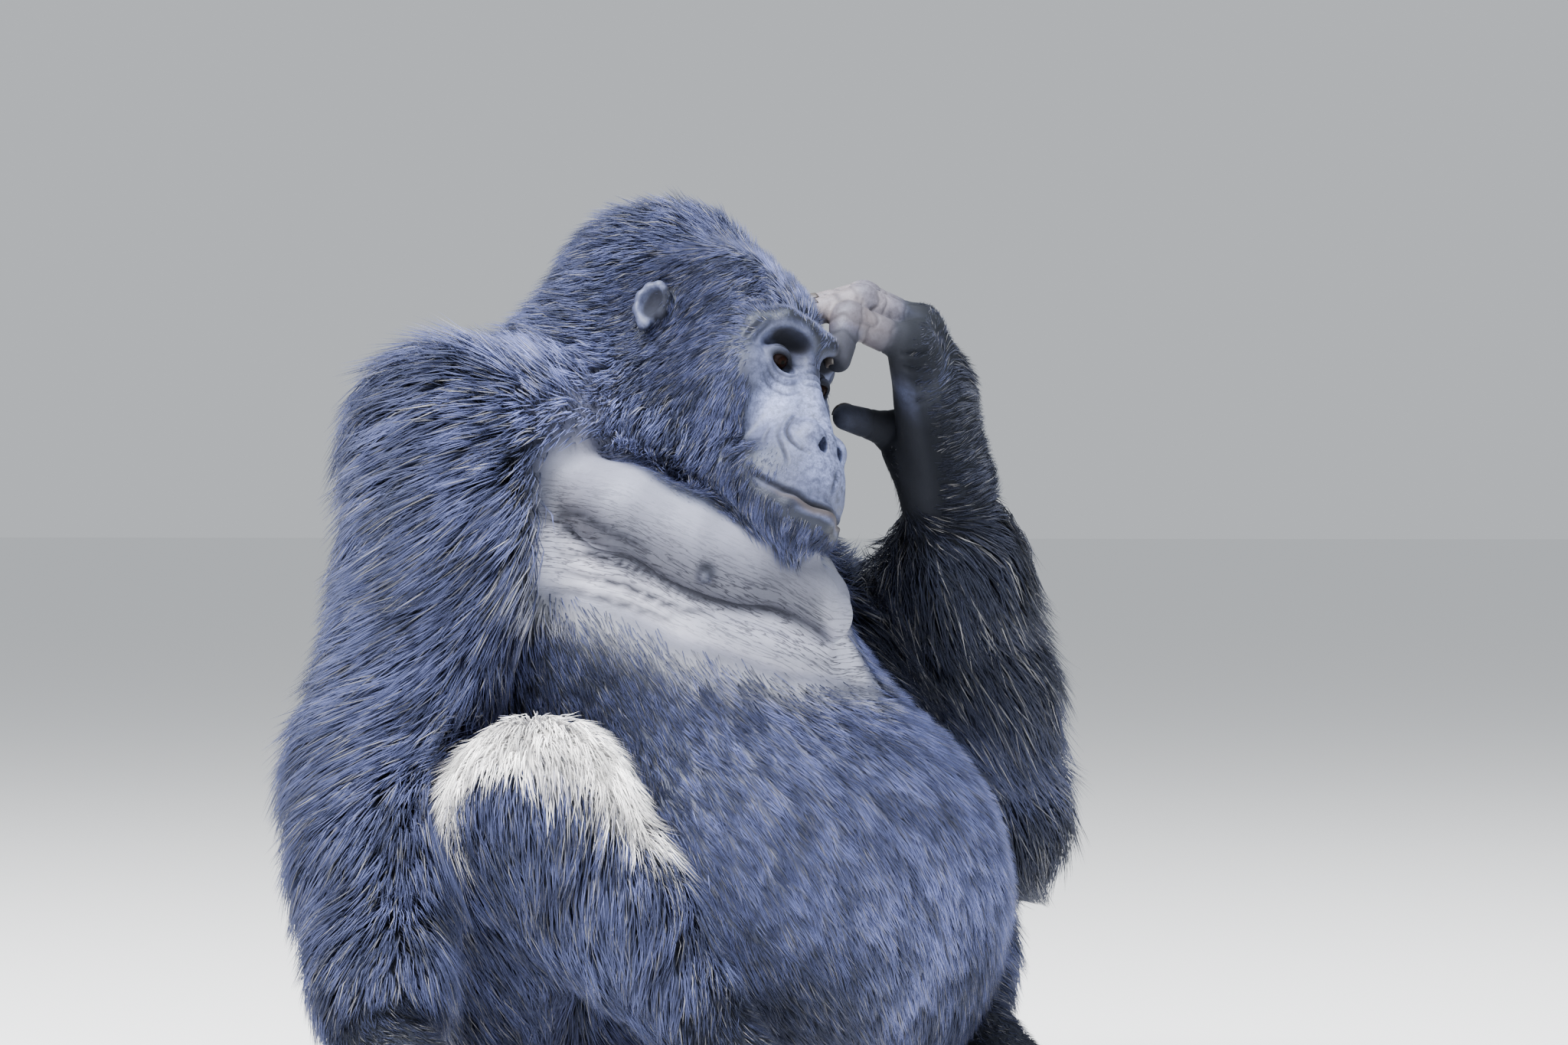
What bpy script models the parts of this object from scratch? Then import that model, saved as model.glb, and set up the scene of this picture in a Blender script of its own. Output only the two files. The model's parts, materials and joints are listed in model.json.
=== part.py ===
"""An adult male mountain gorilla, life size, sitting on the ground and resting its brow on its left hand.

Every form of the body is a smooth union of ellipsoids and tapered limbs, written as a distance field,
sampled on a grid and meshed by the OpenVDB module that Blender carries. Each blob has the radius of the
flesh and the depth of the coat over it, so the solids reach out to the tips of the hair. The meshes are
then thinned with Decimate, parted at the joints by planes, and each limb is cut back with a Boolean
from what it leans on. The gorilla faces -Y, its own left is +X, the ground is z = 0, and the origin is
on the ground under the middle of the body. "left" and "right" are always the animal's own.
"""
import math

import bmesh
import bpy
import numpy as np
import openvdb
from mathutils import Matrix, Vector

MODEL_NAME = "gorilla"

# ---- driving sizes, metres and degrees ---------------------------------------------------------
GAP = 0.0003                    # clearance between neighbouring solids
HEAD_TURN = 12.3                # head turned to its right
HEAD_DIP = 9.3                  # face tipped towards the ground
HEAD_ROLL = 24.4                # crown leaning to its left, onto the hand
TRUNK_TURN = 5.8                # chest turned to its right
TRUNK_LEAN = 11.6               # shoulders leaning to its left
GROUND_CENTRE = (-0.042, -0.169)  # where the origin lies in the joint table below
EYE_RADIUS = 0.0125
EYE_SPACING = 0.072
EYE_DEPTH = 0.0125              # eyeball centre behind the plane of the eyes
DIGIT_SPREAD = (-0.040, -0.014, 0.012, 0.037)   # knuckles across the hand
TOE_SPREAD = (0.018, -0.006, -0.028, -0.046)     # toe roots across the foot

# ---- joints, metres, before the origin is moved to the ground centre ----------------------------
JOINTS = {
    "right_shoulder": (-0.268, 0.024, 0.700), "left_shoulder": (0.153, -0.085, 0.560),
    "right_deltoid": (-0.280, 0.007, 0.600), "left_deltoid": (0.239, -0.153, 0.456),
    "right_elbow": (-0.356, 0.057, 0.350), "left_elbow": (0.367, -0.256, 0.300),
    "right_wrist": (-0.507, -0.051, 0.095), "left_wrist": (0.199, -0.303, 0.655),
    "right_hip": (-0.145, -0.009, 0.130), "left_hip": (0.134, 0.008, 0.130),
    "right_knee": (-0.343, -0.135, 0.325), "left_knee": (0.421, -0.149, 0.200),
    "right_ankle": (-0.261, -0.307, 0.075), "left_ankle": (0.204, -0.333, 0.075),
    "eyes": (-0.044, -0.264, 0.774),
}
# left hand: knuckle, middle joint and tip of each finger, resting on the brow
LEFT_FINGERS = (
    ((0.167, -0.279, 0.815), (0.123, -0.252, 0.845), (0.082, -0.232, 0.840)),
    ((0.144, -0.298, 0.825), (0.089, -0.264, 0.852), (0.041, -0.230, 0.842)),
    ((0.115, -0.315, 0.820), (0.059, -0.278, 0.848), (0.013, -0.246, 0.835)),
    ((0.086, -0.324, 0.800), (0.029, -0.279, 0.829), (0.004, -0.282, 0.786)),
)
LEFT_THUMB = ((0.183, -0.287, 0.690), (0.159, -0.255, 0.715), (0.110, -0.231, 0.728))

# ---- colours and triangle budgets ---------------------------------------------------------------
FUR = ((0.030, 0.031, 0.045), 0.55)
SILVER = ((0.30, 0.30, 0.33), 0.60)
BARE_SKIN = ((0.060, 0.058, 0.066), 0.45)
EYE_BROWN = ((0.030, 0.012, 0.006), 0.08)


def frame_axes(turn, dip, roll):
    """Rows: forward, left and up of a body part that is turned, dipped and rolled (degrees)."""
    turn, dip, roll = (math.radians(a) for a in (turn, dip, roll))
    forward = np.array([-math.sin(turn), -math.cos(turn), 0.0])
    left = np.array([math.cos(turn), -math.sin(turn), 0.0])
    up = np.array([0.0, 0.0, 1.0])
    dipped = forward * math.cos(dip) - up * math.sin(dip)
    raised = up * math.cos(dip) + forward * math.sin(dip)
    rolled_left = left * math.cos(roll) - raised * math.sin(roll)
    rolled_up = raised * math.cos(roll) + left * math.sin(roll)
    return np.stack([dipped, rolled_left, rolled_up])


HEAD_AXES = frame_axes(HEAD_TURN, HEAD_DIP, HEAD_ROLL)
TRUNK_AXES = frame_axes(TRUNK_TURN, 0.0, TRUNK_LEAN)


def at(x, y, z):
    """A point of the joint table, moved so that the ground centre becomes the origin."""
    return np.array([x - GROUND_CENTRE[0], y - GROUND_CENTRE[1], z])


def joint(name):
    return at(*JOINTS[name])


def on_head(forward, left, up):
    """A point given in millimetres from the middle of the eyes, along the head's own axes."""
    return joint("eyes") + (forward * HEAD_AXES[0] + left * HEAD_AXES[1] + up * HEAD_AXES[2]) / 1000.0


def between(a, b, share):
    return a * (1.0 - share) + b * share


# ---- blobs: the distance to each simple form ------------------------------------------------------
class Egg:
    """An ellipsoid with its own axes, its flesh radii, and the coat's depth over it."""

    def __init__(self, centre, radii, coat=0.0, axes=None, blend=0.03, carve=False):
        self.centre = np.asarray(centre, float)
        self.radii = np.asarray(radii, float) + coat
        self.axes = np.eye(3) if axes is None else axes
        self.blend = blend
        self.carve = carve

    def distance(self, points):
        local = (points - self.centre) @ self.axes.T
        scaled = np.linalg.norm(local / self.radii, axis=-1)
        slope = np.linalg.norm(local / self.radii ** 2, axis=-1) + 1e-9
        return scaled * (scaled - 1.0) / slope

    def reach(self):
        half = np.sqrt(((self.axes * self.radii[:, None]) ** 2).sum(0))
        return self.centre - half, self.centre + half


class Limb:
    """A straight limb with round ends, tapering from one radius to the other."""

    def __init__(self, start, end, radii, coats=(0.0, 0.0), blend=0.03, carve=False):
        self.start = np.asarray(start, float)
        self.end = np.asarray(end, float)
        self.first = radii[0] + coats[0]
        self.last = radii[1] + coats[1]
        self.blend = blend
        self.carve = carve

    def distance(self, points):
        along = self.end - self.start
        offset = points - self.start
        share = np.clip((offset @ along) / (along @ along), 0.0, 1.0)
        away = np.linalg.norm(offset - share[..., None] * along, axis=-1)
        return away - (self.first + share * (self.last - self.first))

    def reach(self):
        low = np.minimum(self.start - self.first, self.end - self.last)
        high = np.maximum(self.start + self.first, self.end + self.last)
        return low, high


def chain(points, radii, coats, blend=0.03):
    """Limbs laid end to end through the points."""
    steps = range(len(points) - 1)
    return [Limb(points[i], points[i + 1], radii[i:i + 2], coats[i:i + 2], blend) for i in steps]


def both_sides(make):
    """The same blob on the left and on the right of the head."""
    return [make(1), make(-1)]


def smooth_min(a, b, blend):
    mix = np.clip(0.5 + 0.5 * (b - a) / blend, 0.0, 1.0)
    return b * (1.0 - mix) + a * mix - blend * mix * (1.0 - mix)


def sample(blobs, cell):
    """The blobs' smooth union on a grid of the given cell: the field and its lowest corner."""
    margin = 0.03
    low = np.min([b.reach()[0] for b in blobs if not b.carve], 0) - margin
    high = np.max([b.reach()[1] for b in blobs if not b.carve], 0) + margin
    count = np.ceil((high - low) / cell).astype(int) + 1
    field = np.full(count, 1.0, np.float32)
    for blob in blobs:
        pad = blob.blend + 4 * cell
        first = np.maximum(np.floor((blob.reach()[0] - pad - low) / cell).astype(int), 0)
        last = np.minimum(np.ceil((blob.reach()[1] + pad - low) / cell).astype(int) + 1, count)
        axes = [low[i] + cell * np.arange(first[i], last[i]) for i in range(3)]
        points = np.stack(np.meshgrid(*axes, indexing="ij"), -1)
        block = tuple(slice(first[i], last[i]) for i in range(3))
        reached = blob.distance(points).astype(np.float32)
        if blob.carve:
            field[block] = -smooth_min(-field[block], reached, blob.blend)
        else:
            field[block] = smooth_min(field[block], reached, blob.blend)
    return field, low


# ---- meshes -------------------------------------------------------------------------------------------
def new_object(name, mesh):
    part = bpy.data.objects.new(name, mesh)
    parts.objects.link(part)
    return part


def evaluated_copy(part):
    """The mesh of an object with its modifiers applied."""
    bpy.context.view_layer.update()
    graph = bpy.context.evaluated_depsgraph_get()
    return bpy.data.meshes.new_from_object(part.evaluated_get(graph))


def drop(part):
    mesh = part.data
    bpy.data.objects.remove(part)
    bpy.data.meshes.remove(mesh)


def form(blobs, cell, triangles):
    """Mesh the blobs and thin the mesh to about the given number of triangles."""
    field, low = sample(blobs, cell)
    grid = openvdb.FloatGrid()
    grid.background = 1.0
    grid.copyFromArray(field)
    points, quads = grid.convertToQuads(0.0)
    mesh = bpy.data.meshes.new("form")
    mesh.from_pydata((points * cell + low).tolist(), [], quads.tolist())
    if quads_point_inwards(mesh):
        mesh.flip_normals()
    rough = new_object("rough", mesh)
    thin = rough.modifiers.new("thin", "DECIMATE")
    thin.ratio = min(1.0, triangles / (2.0 * len(mesh.polygons)))
    thin.use_collapse_triangulate = True
    result = evaluated_copy(rough)
    drop(rough)
    return result


def quads_point_inwards(mesh):
    edit = bmesh.new()
    edit.from_mesh(mesh)
    inside_out = edit.calc_volume(signed=True) < 0.0
    edit.free()
    return inside_out


def cut(mesh, planes):
    """Keep what lies ahead of every plane (a point and a direction) and close each cut."""
    edit = bmesh.new()
    edit.from_mesh(mesh)
    for point, direction in planes:
        normal = Vector(direction).normalized()
        bmesh.ops.bisect_plane(edit, geom=edit.verts[:] + edit.edges[:] + edit.faces[:], dist=1e-6,
                               plane_co=Vector(point) + normal * GAP / 2, plane_no=normal,
                               clear_inner=True)
        rim = [edge for edge in edit.edges if edge.is_boundary]
        bmesh.ops.holes_fill(edit, edges=rim, sides=0)
    bmesh.ops.triangulate(edit, faces=edit.faces[:])
    bmesh.ops.dissolve_degenerate(edit, dist=1e-6, edges=edit.edges[:])
    result = bpy.data.meshes.new("cut")
    edit.to_mesh(result)
    edit.free()
    return result


def grown(mesh, amount):
    """A copy of a mesh with its surface moved out a little."""
    edit = bmesh.new()
    edit.from_mesh(mesh)
    edit.normal_update()
    for vert in edit.verts:
        vert.co += vert.normal * amount * vert.calc_shell_factor()
    result = bpy.data.meshes.new("grown")
    edit.to_mesh(result)
    edit.free()
    return result


def boxes_meet(a, b):
    low_a, high_a = mesh_box(a)
    low_b, high_b = mesh_box(b)
    return bool(np.all(low_a < high_b + GAP) and np.all(low_b < high_a + GAP))


def mesh_box(mesh):
    places = np.array([vert.co for vert in mesh.vertices])
    return places.min(0), places.max(0)


def largest_island(mesh):
    """Only the largest of the loose pieces that a Boolean can leave."""
    edit = bmesh.new()
    edit.from_mesh(mesh)
    waiting = set(edit.verts)
    islands = []
    while waiting:
        island = [waiting.pop()]
        for vert in island:
            for edge in vert.link_edges:
                other = edge.other_vert(vert)
                if other in waiting:
                    waiting.remove(other)
                    island.append(other)
        islands.append(island)
    islands.sort(key=len)
    for island in islands[:-1]:
        bmesh.ops.delete(edit, geom=island, context="VERTS")
    bmesh.ops.triangulate(edit, faces=edit.faces[:])
    edit.to_mesh(mesh)
    edit.free()
    return mesh


def trim(mesh, neighbours, gap=GAP):
    """Cut the mesh back from each neighbour that it reaches into, leaving the gap."""
    for other in neighbours:
        if not boxes_meet(mesh, other):
            continue
        body = new_object("body", mesh)
        cutter = bpy.data.objects.new("cutter", grown(other, gap))
        cutters.objects.link(cutter)
        cutter.hide_render = True
        cutter.display_type = "WIRE"
        take = body.modifiers.new("take", "BOOLEAN")
        take.operation = "DIFFERENCE"
        take.object = cutter
        mesh = largest_island(evaluated_copy(body))
        drop(body)
        drop(cutter)
    return mesh


def finish(name, mesh, look, seat=False):
    """Name a part, rest it on the ground if it reaches there, and give it its colour."""
    if seat:
        mesh = cut(mesh, [((0.0, 0.0, -GAP / 2), (0.0, 0.0, 1.0))])
    part = new_object(name, mesh)
    mesh.name = name
    mesh.shade_smooth()
    colour, roughness = look
    material = bpy.data.materials.new(name)
    material.use_nodes = True
    shader = material.node_tree.nodes["Principled BSDF"]
    shader.inputs["Base Color"].default_value = (*colour, 1.0)
    shader.inputs["Roughness"].default_value = roughness
    mesh.materials.clear()
    mesh.materials.append(material)
    return part


# ---- the trunk ------------------------------------------------------------------------------------------
def trunk_blobs():
    def egg(centre, radii, coat, blend=0.08):
        return Egg(at(*centre), radii, coat, TRUNK_AXES, blend)

    blobs = [
        egg((0.008, -0.174, 0.240), (0.262, 0.285, 0.236), 0.014, 0.06),      # belly
        egg((-0.004, -0.153, 0.150), (0.240, 0.250, 0.140), 0.012, 0.06),     # belly on the ground
        egg((-0.039, -0.092, 0.470), (0.190, 0.220, 0.210), 0.012),           # rib cage
        egg((-0.054, 0.004, 0.440), (0.120, 0.190, 0.250), 0.035),            # back
        egg((-0.012, -0.019, 0.150), (0.155, 0.210, 0.140), 0.030),           # rump
        egg((-0.090, 0.017, 0.650), (0.120, 0.200, 0.115), 0.040, 0.07),      # shoulder muscles
        Limb(joint("right_shoulder"), at(-0.091, -0.041, 0.640), (0.080, 0.100), (0.040, 0.020), 0.07),
        Limb(joint("left_shoulder"), at(0.017, -0.048, 0.600), (0.080, 0.100), (0.030, 0.020), 0.07),
        egg((-0.118, -0.155, 0.600), (0.065, 0.120, 0.070), 0.002, 0.03),     # breast muscles
        egg((0.087, -0.169, 0.550), (0.065, 0.120, 0.070), 0.002, 0.03),
    ]
    return blobs


def build_trunk():
    whole = form(trunk_blobs(), 0.008, 1100)
    spine = TRUNK_AXES[2]
    waist = at(0.0, -0.09, 0.215)
    ribs = at(-0.03, -0.09, 0.440)
    pelvis = cut(whole, [(waist, -spine)])
    belly = cut(whole, [(waist, spine), (ribs, -spine)])
    chest = cut(whole, [(ribs, spine)])
    finish("pelvis", pelvis, FUR, seat=True)
    finish("belly", belly, FUR)
    finish("chest", chest, FUR)
    return [whole]


# ---- head and neck --------------------------------------------------------------------------------------
def head_blobs():
    def egg(centre, radii, coat=0.0, blend=0.02, carve=False):
        return Egg(on_head(*centre), radii, coat, HEAD_AXES, blend, carve)

    def limb(start, end, radii, coats=(0.0, 0.0), blend=0.02):
        return Limb(on_head(*start), on_head(*end), radii, coats, blend)

    blobs = [
        egg((-125, 0, 18), (0.090, 0.072, 0.070), 0.012),                                    # braincase
        limb((-52, 0, 46), (-195, 0, 92), (0.040, 0.044), (0.012, 0.022), 0.035),               # crest
        egg((-240, 0, 48), (0.068, 0.075, 0.080), 0.028, 0.04),                                 # nape pad
        limb((2, -22, 30), (2, 22, 30), (0.015, 0.015), (0.004, 0.004), 0.012),
        limb((-42, 0, -20), (48, 0, -95), (0.050, 0.044)),                                       # mid face
        egg((56, 16, -115), (0.062, 0.048, 0.045)),                                              # muzzle
        egg((56, -16, -115), (0.062, 0.048, 0.045)),
        limb((12, 0, -4), (68, 0, -66), (0.010, 0.014), blend=0.015),                           # nose bridge
        egg((98, 0, -156), (0.028, 0.038, 0.026), 0.010, 0.015),                                # chin
        limb((-60, 0, -138), (72, 0, -165), (0.045, 0.032), (0.022, 0.022)),                    # throat, beard
    ]
    blobs += both_sides(lambda s: egg((-118, 40 * s, 42), (0.078, 0.036, 0.062), 0.012))        # temples
    blobs += both_sides(lambda s: limb((-12, 56 * s, 22), (2, 22 * s, 30), (0.013, 0.015),
                                       (0.004, 0.004), 0.012))                                   # brow
    blobs += both_sides(lambda s: egg((-32, 56 * s, -28), (0.036, 0.026, 0.026), 0.004))        # cheekbones
    blobs += both_sides(lambda s: egg((76, 19 * s, -80), (0.018, 0.016, 0.017), 0.0, 0.010))    # nose wings
    blobs += both_sides(lambda s: limb((-75, 58 * s, -105), (70, 30 * s, -150), (0.038, 0.030),
                                       (0.018, 0.014)))                                           # jaw
    blobs += both_sides(lambda s: egg((-48, 56 * s, -68), (0.055, 0.034, 0.068), 0.016))        # cheeks
    blobs += [
        Limb(at(-0.092, -0.001, 0.680), on_head(-228, 0, 12), (0.125, 0.084), (0.035, 0.026), 0.06),
        Limb(at(-0.100, -0.046, 0.640), on_head(-90, 0, -70), (0.100, 0.080), (0.010, 0.020), 0.05),
    ]
    half = EYE_SPACING * 500
    blobs += both_sides(lambda s: egg((2, half * s, 0), (0.017, 0.020, 0.015), 0.0, 0.008, True))   # sockets
    blobs += both_sides(lambda s: egg((92, 15 * s, -79), (0.011, 0.008, 0.008), 0.0, 0.004, True))  # nostrils
    return blobs


def build_head(trunk):
    whole = form(head_blobs(), 0.004, 1600)
    eyes = {}
    for name, side in (("left_eye", 1), ("right_eye", -1)):
        ball = bmesh.new()
        centre = on_head(-EYE_DEPTH * 1000, EYE_SPACING * 500 * side, 0)
        bmesh.ops.create_icosphere(ball, subdivisions=2, radius=EYE_RADIUS,
                                   matrix=Matrix.Translation(Vector(centre)))
        eyes[name] = bpy.data.meshes.new(name)
        ball.to_mesh(eyes[name])
        ball.free()
        finish(name, eyes[name], EYE_BROWN)
    nape = on_head(-170, 0, -60)
    towards_face = HEAD_AXES[0] * 0.85 + HEAD_AXES[2] * 0.50
    head = trim(cut(whole, [(nape, towards_face)]), list(eyes.values()) + trunk)
    neck = trim(cut(whole, [(nape, -towards_face)]), trunk)
    finish("head", head, FUR)
    finish("neck", neck, FUR)
    for name, side in (("left_ear", 1), ("right_ear", -1)):
        blobs = [
            Egg(on_head(-139, 96 * side, 12), (0.018, 0.015, 0.027), 0.0, HEAD_AXES, 0.006),
            Egg(on_head(-134, 110 * side, 14), (0.011, 0.008, 0.018), 0.0, HEAD_AXES, 0.003, True),
        ]
        finish(name, trim(form(blobs, 0.002, 90), [head, neck]), BARE_SKIN)
    return [head, neck]


# ---- arms -------------------------------------------------------------------------------------------------
def bisector(before, bend, after):
    """The plane through a bend, looking from the first bone to the next."""
    inward = (bend - before) / np.linalg.norm(bend - before)
    outward = (after - bend) / np.linalg.norm(after - bend)
    return bend, inward + outward


def build_arm(side, coats, cuff, solids):
    """Upper arm and forearm; the coat is deepest at the elbow, and the cuff is the forearm's far end."""
    shoulder = joint(side + "_shoulder")
    deltoid = joint(side + "_deltoid")
    elbow = joint(side + "_elbow")
    wrist = joint(side + "_wrist")
    blobs = chain([shoulder, deltoid, elbow], (0.060, 0.077, 0.057), (coats[0], coats[0], coats[1]), 0.05)
    blobs += chain([elbow, between(elbow, wrist, 0.35), between(elbow, wrist, 0.8), wrist],
                   (0.054, 0.054, 0.040, 0.034), (coats[1], coats[2], cuff, 0.016))
    whole = trim(form(blobs, 0.007, 300), solids)
    bend, direction = bisector(deltoid, elbow, wrist)
    along = (wrist - elbow) / np.linalg.norm(wrist - elbow)
    upper = cut(whole, [(bend, -direction)])
    fore = cut(whole, [(bend, direction), (wrist, -along)])
    finish(side + "_upper_arm", upper, FUR)
    finish(side + "_forearm", fore, FUR, seat=True)
    return [whole], [upper, fore]


def build_hand(side, fingers, thumb, solids):
    """A palm that fans from the wrist to the knuckles, four fingers and a thumb."""
    wrist = joint(side + "_wrist")
    names = ("index", "middle", "ring", "little")
    palm = [Limb(wrist, knuckle, (0.024, 0.0165), (0.012, 0.006), 0.02) for knuckle, _, _ in fingers]
    palm.append(Limb(wrist, thumb[0], (0.026, 0.019), (0.012, 0.004), 0.02))
    elbow = joint(side + "_elbow")
    along = (wrist - elbow) / np.linalg.norm(wrist - elbow)
    palm_mesh = trim(cut(form(palm, 0.004, 130), [(wrist, along)]), solids)
    finish(side + "_hand", palm_mesh, FUR, seat=True)
    near = solids + [palm_mesh]
    for name, points in zip(names, fingers):
        blobs = chain(points, (0.0160, 0.0150, 0.0115), (0.0, 0.0, 0.0), 0.008)
        digit = trim(form(blobs, 0.004, 38), near)
        finish("_".join((side, name, "finger")), digit, BARE_SKIN, seat=True)
        near = near + [digit]
    blobs = chain(thumb, (0.0190, 0.0160, 0.0120), (0.004, 0.002, 0.0), 0.012)
    digit = trim(form(blobs, 0.004, 38), near)
    finish(side + "_thumb", digit, BARE_SKIN, seat=True)
    return near


def right_hand_shape():
    """The right hand lies half closed on the ground, on the backs of its fingers."""
    wrist = joint("right_wrist")
    ahead = np.array([-0.352, -0.936, 0.0])
    across = np.array([-0.936, 0.352, 0.0])

    def place(forward, sideways, height):
        spot = wrist + ahead * forward + across * sideways
        return np.array([spot[0], spot[1], height])

    fingers = []
    for offset in DIGIT_SPREAD:
        fingers.append((place(0.105, offset, 0.056), place(0.155, offset, 0.022), place(0.110, offset, 0.011)))
    thumb = (place(0.020, -0.030, 0.075), place(0.060, -0.062, 0.055), place(0.100, -0.058, 0.033))
    return fingers, thumb


# ---- legs -------------------------------------------------------------------------------------------------
def build_leg(side, solids):
    hip = joint(side + "_hip")
    knee = joint(side + "_knee")
    ankle = joint(side + "_ankle")
    blobs = chain([hip, knee], (0.125, 0.080), (0.020, 0.022), 0.05)
    blobs += chain([knee, between(knee, ankle, 0.4), ankle], (0.072, 0.062, 0.038), (0.022, 0.022, 0.015), 0.04)
    whole = trim(form(blobs, 0.007, 280), solids)
    bend, direction = bisector(hip, knee, ankle)
    along = (ankle - knee) / np.linalg.norm(ankle - knee)
    thigh = cut(whole, [(bend, -direction)])
    shin = cut(whole, [(bend, direction), (ankle, -along)])
    finish(side + "_thigh", thigh, SILVER if side == "right" else FUR, seat=True)
    finish(side + "_shin", shin, FUR, seat=True)
    return [whole]


def build_foot(side, ahead, inward, solids):
    """A long sole, four short toes in a row and the big toe standing off to the inside."""
    ankle = joint(side + "_ankle")
    knee = joint(side + "_knee")
    ahead = np.array([ahead[0], ahead[1], 0.0])
    ahead /= np.linalg.norm(ahead)
    across = np.array([-ahead[1], ahead[0], 0.0]) * inward

    def place(forward, sideways, height):
        spot = ankle + ahead * forward + across * sideways
        return np.array([spot[0], spot[1], height])

    heel = place(-0.045, 0.0, 0.032)
    roots = [place(0.125 - abs(offset - 0.018) * 0.45, offset, 0.025) for offset in TOE_SPREAD]
    big_root = place(0.060, 0.045, 0.027)
    blobs = [Limb(ankle, heel, (0.036, 0.033), (0.012, 0.0))]
    blobs += [Limb(heel, root, (0.032, 0.019), (0.003, 0.002)) for root in roots]
    blobs += [Limb(ankle, roots[0], (0.036, 0.022), (0.010, 0.002)), Limb(heel, big_root, (0.030, 0.023))]
    along = (ankle - knee) / np.linalg.norm(ankle - knee)
    sole = trim(cut(form(blobs, 0.004, 130), [(ankle, along)]), solids)
    finish(side + "_foot", sole, BARE_SKIN, seat=True)
    near = solids + [sole]
    toes = []
    for number, (root, offset) in enumerate(zip(roots, TOE_SPREAD)):
        reach = 0.125 - abs(offset - 0.018) * 0.45
        toes.append((root, place(reach + 0.032, offset, 0.021), place(reach + 0.060 - 0.006 * number, offset, 0.013)))
    names = ("second_toe", "third_toe", "fourth_toe", "little_toe")
    for name, points in zip(names, toes):
        digit = trim(form(chain(points, (0.0165, 0.0155, 0.0125), (0.0, 0.0, 0.0), 0.008), 0.004, 28), near)
        finish(side + "_" + name, digit, BARE_SKIN, seat=True)
        near = near + [digit]
    big = (big_root, place(0.105, 0.067, 0.023), place(0.138, 0.075, 0.017))
    digit = trim(form(chain(big, (0.021, 0.020, 0.0155), (0.0, 0.0, 0.0), 0.008), 0.004, 34), near)
    finish(side + "_big_toe", digit, BARE_SKIN, seat=True)
    return near


# ---- the whole animal -------------------------------------------------------------------------------------
for old in list(bpy.data.objects):
    bpy.data.objects.remove(old)
parts = bpy.data.collections.new(MODEL_NAME)
cutters = bpy.data.collections.new("cutters")
bpy.context.scene.collection.children.link(parts)
bpy.context.scene.collection.children.link(cutters)

trunk_solids = build_trunk()
head_solids = build_head(trunk_solids)
body = trunk_solids + head_solids
for leg_side in ("right", "left"):
    body = body + build_leg(leg_side, trunk_solids)
right_arm, right_pieces = build_arm("right", (0.042, 0.042, 0.035), 0.024, body)
left_arm, left_pieces = build_arm("left", (0.040, 0.045, 0.045), 0.045, body + right_arm)
right_fingers, right_thumb = right_hand_shape()
near_right = build_hand("right", right_fingers, right_thumb, body + right_pieces)
left_fingers = [[at(*point) for point in finger] for finger in LEFT_FINGERS]
near_left = build_hand("left", left_fingers, [at(*point) for point in LEFT_THUMB], body + left_pieces)
near_foot = build_foot("right", (-0.10, -1.0), -1, near_right)
build_foot("left", (-0.45, -0.85), 1, near_foot)

triangles = {part.name: len(part.data.polygons) for part in parts.objects}
print("parts", len(triangles), "triangles", sum(triangles.values()), triangles)
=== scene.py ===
# %% [markdown]
# # A silverback at rest
# A mountain gorilla sits on the ground with its brow on its left hand. The frame is a set of plain
# solids that reach out to the tips of the coat. Here one skin is modelled inside them, then fur, eyes
# and nails are laid on it. "left" and "right" are always the animal's own, and it faces -Y.

# %% Load the frame
import json
import math
import time

import bmesh
import bpy
import numpy as np
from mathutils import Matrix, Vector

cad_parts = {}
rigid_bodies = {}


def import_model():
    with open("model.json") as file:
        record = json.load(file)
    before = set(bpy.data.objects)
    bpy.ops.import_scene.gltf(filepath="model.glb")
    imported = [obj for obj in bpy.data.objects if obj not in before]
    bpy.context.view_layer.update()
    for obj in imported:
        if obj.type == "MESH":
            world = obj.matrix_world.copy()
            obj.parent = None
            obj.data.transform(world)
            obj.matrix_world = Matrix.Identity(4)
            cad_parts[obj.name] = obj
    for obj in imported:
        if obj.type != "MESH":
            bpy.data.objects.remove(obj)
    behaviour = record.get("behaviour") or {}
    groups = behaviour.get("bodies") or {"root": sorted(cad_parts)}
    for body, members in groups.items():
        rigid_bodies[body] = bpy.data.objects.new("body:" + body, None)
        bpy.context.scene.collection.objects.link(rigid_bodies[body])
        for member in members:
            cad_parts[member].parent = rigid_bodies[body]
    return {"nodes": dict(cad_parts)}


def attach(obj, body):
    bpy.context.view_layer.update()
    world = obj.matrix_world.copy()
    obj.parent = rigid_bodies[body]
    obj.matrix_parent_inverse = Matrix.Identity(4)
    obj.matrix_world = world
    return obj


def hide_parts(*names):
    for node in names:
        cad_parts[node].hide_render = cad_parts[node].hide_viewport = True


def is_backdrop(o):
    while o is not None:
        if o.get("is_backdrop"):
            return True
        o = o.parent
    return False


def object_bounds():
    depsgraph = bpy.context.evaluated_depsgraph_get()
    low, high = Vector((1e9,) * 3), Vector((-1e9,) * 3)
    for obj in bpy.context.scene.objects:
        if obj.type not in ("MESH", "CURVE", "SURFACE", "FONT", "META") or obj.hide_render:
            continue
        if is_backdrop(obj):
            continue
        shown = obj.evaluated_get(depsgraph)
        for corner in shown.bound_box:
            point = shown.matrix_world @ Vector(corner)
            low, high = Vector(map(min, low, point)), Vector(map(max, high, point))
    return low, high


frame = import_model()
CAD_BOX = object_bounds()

import openvdb
from mathutils import Matrix, Vector
from mathutils.kdtree import KDTree

STARTED = time.time()
MM = 0.001
UP = np.array([0.0, 0.0, 1.0])


def clock():
    return f"after {time.time() - STARTED:.1f} s"


print("solids in the frame:", len(frame["nodes"]), "box", [tuple(round(v, 3) for v in c) for c in CAD_BOX])

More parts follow.
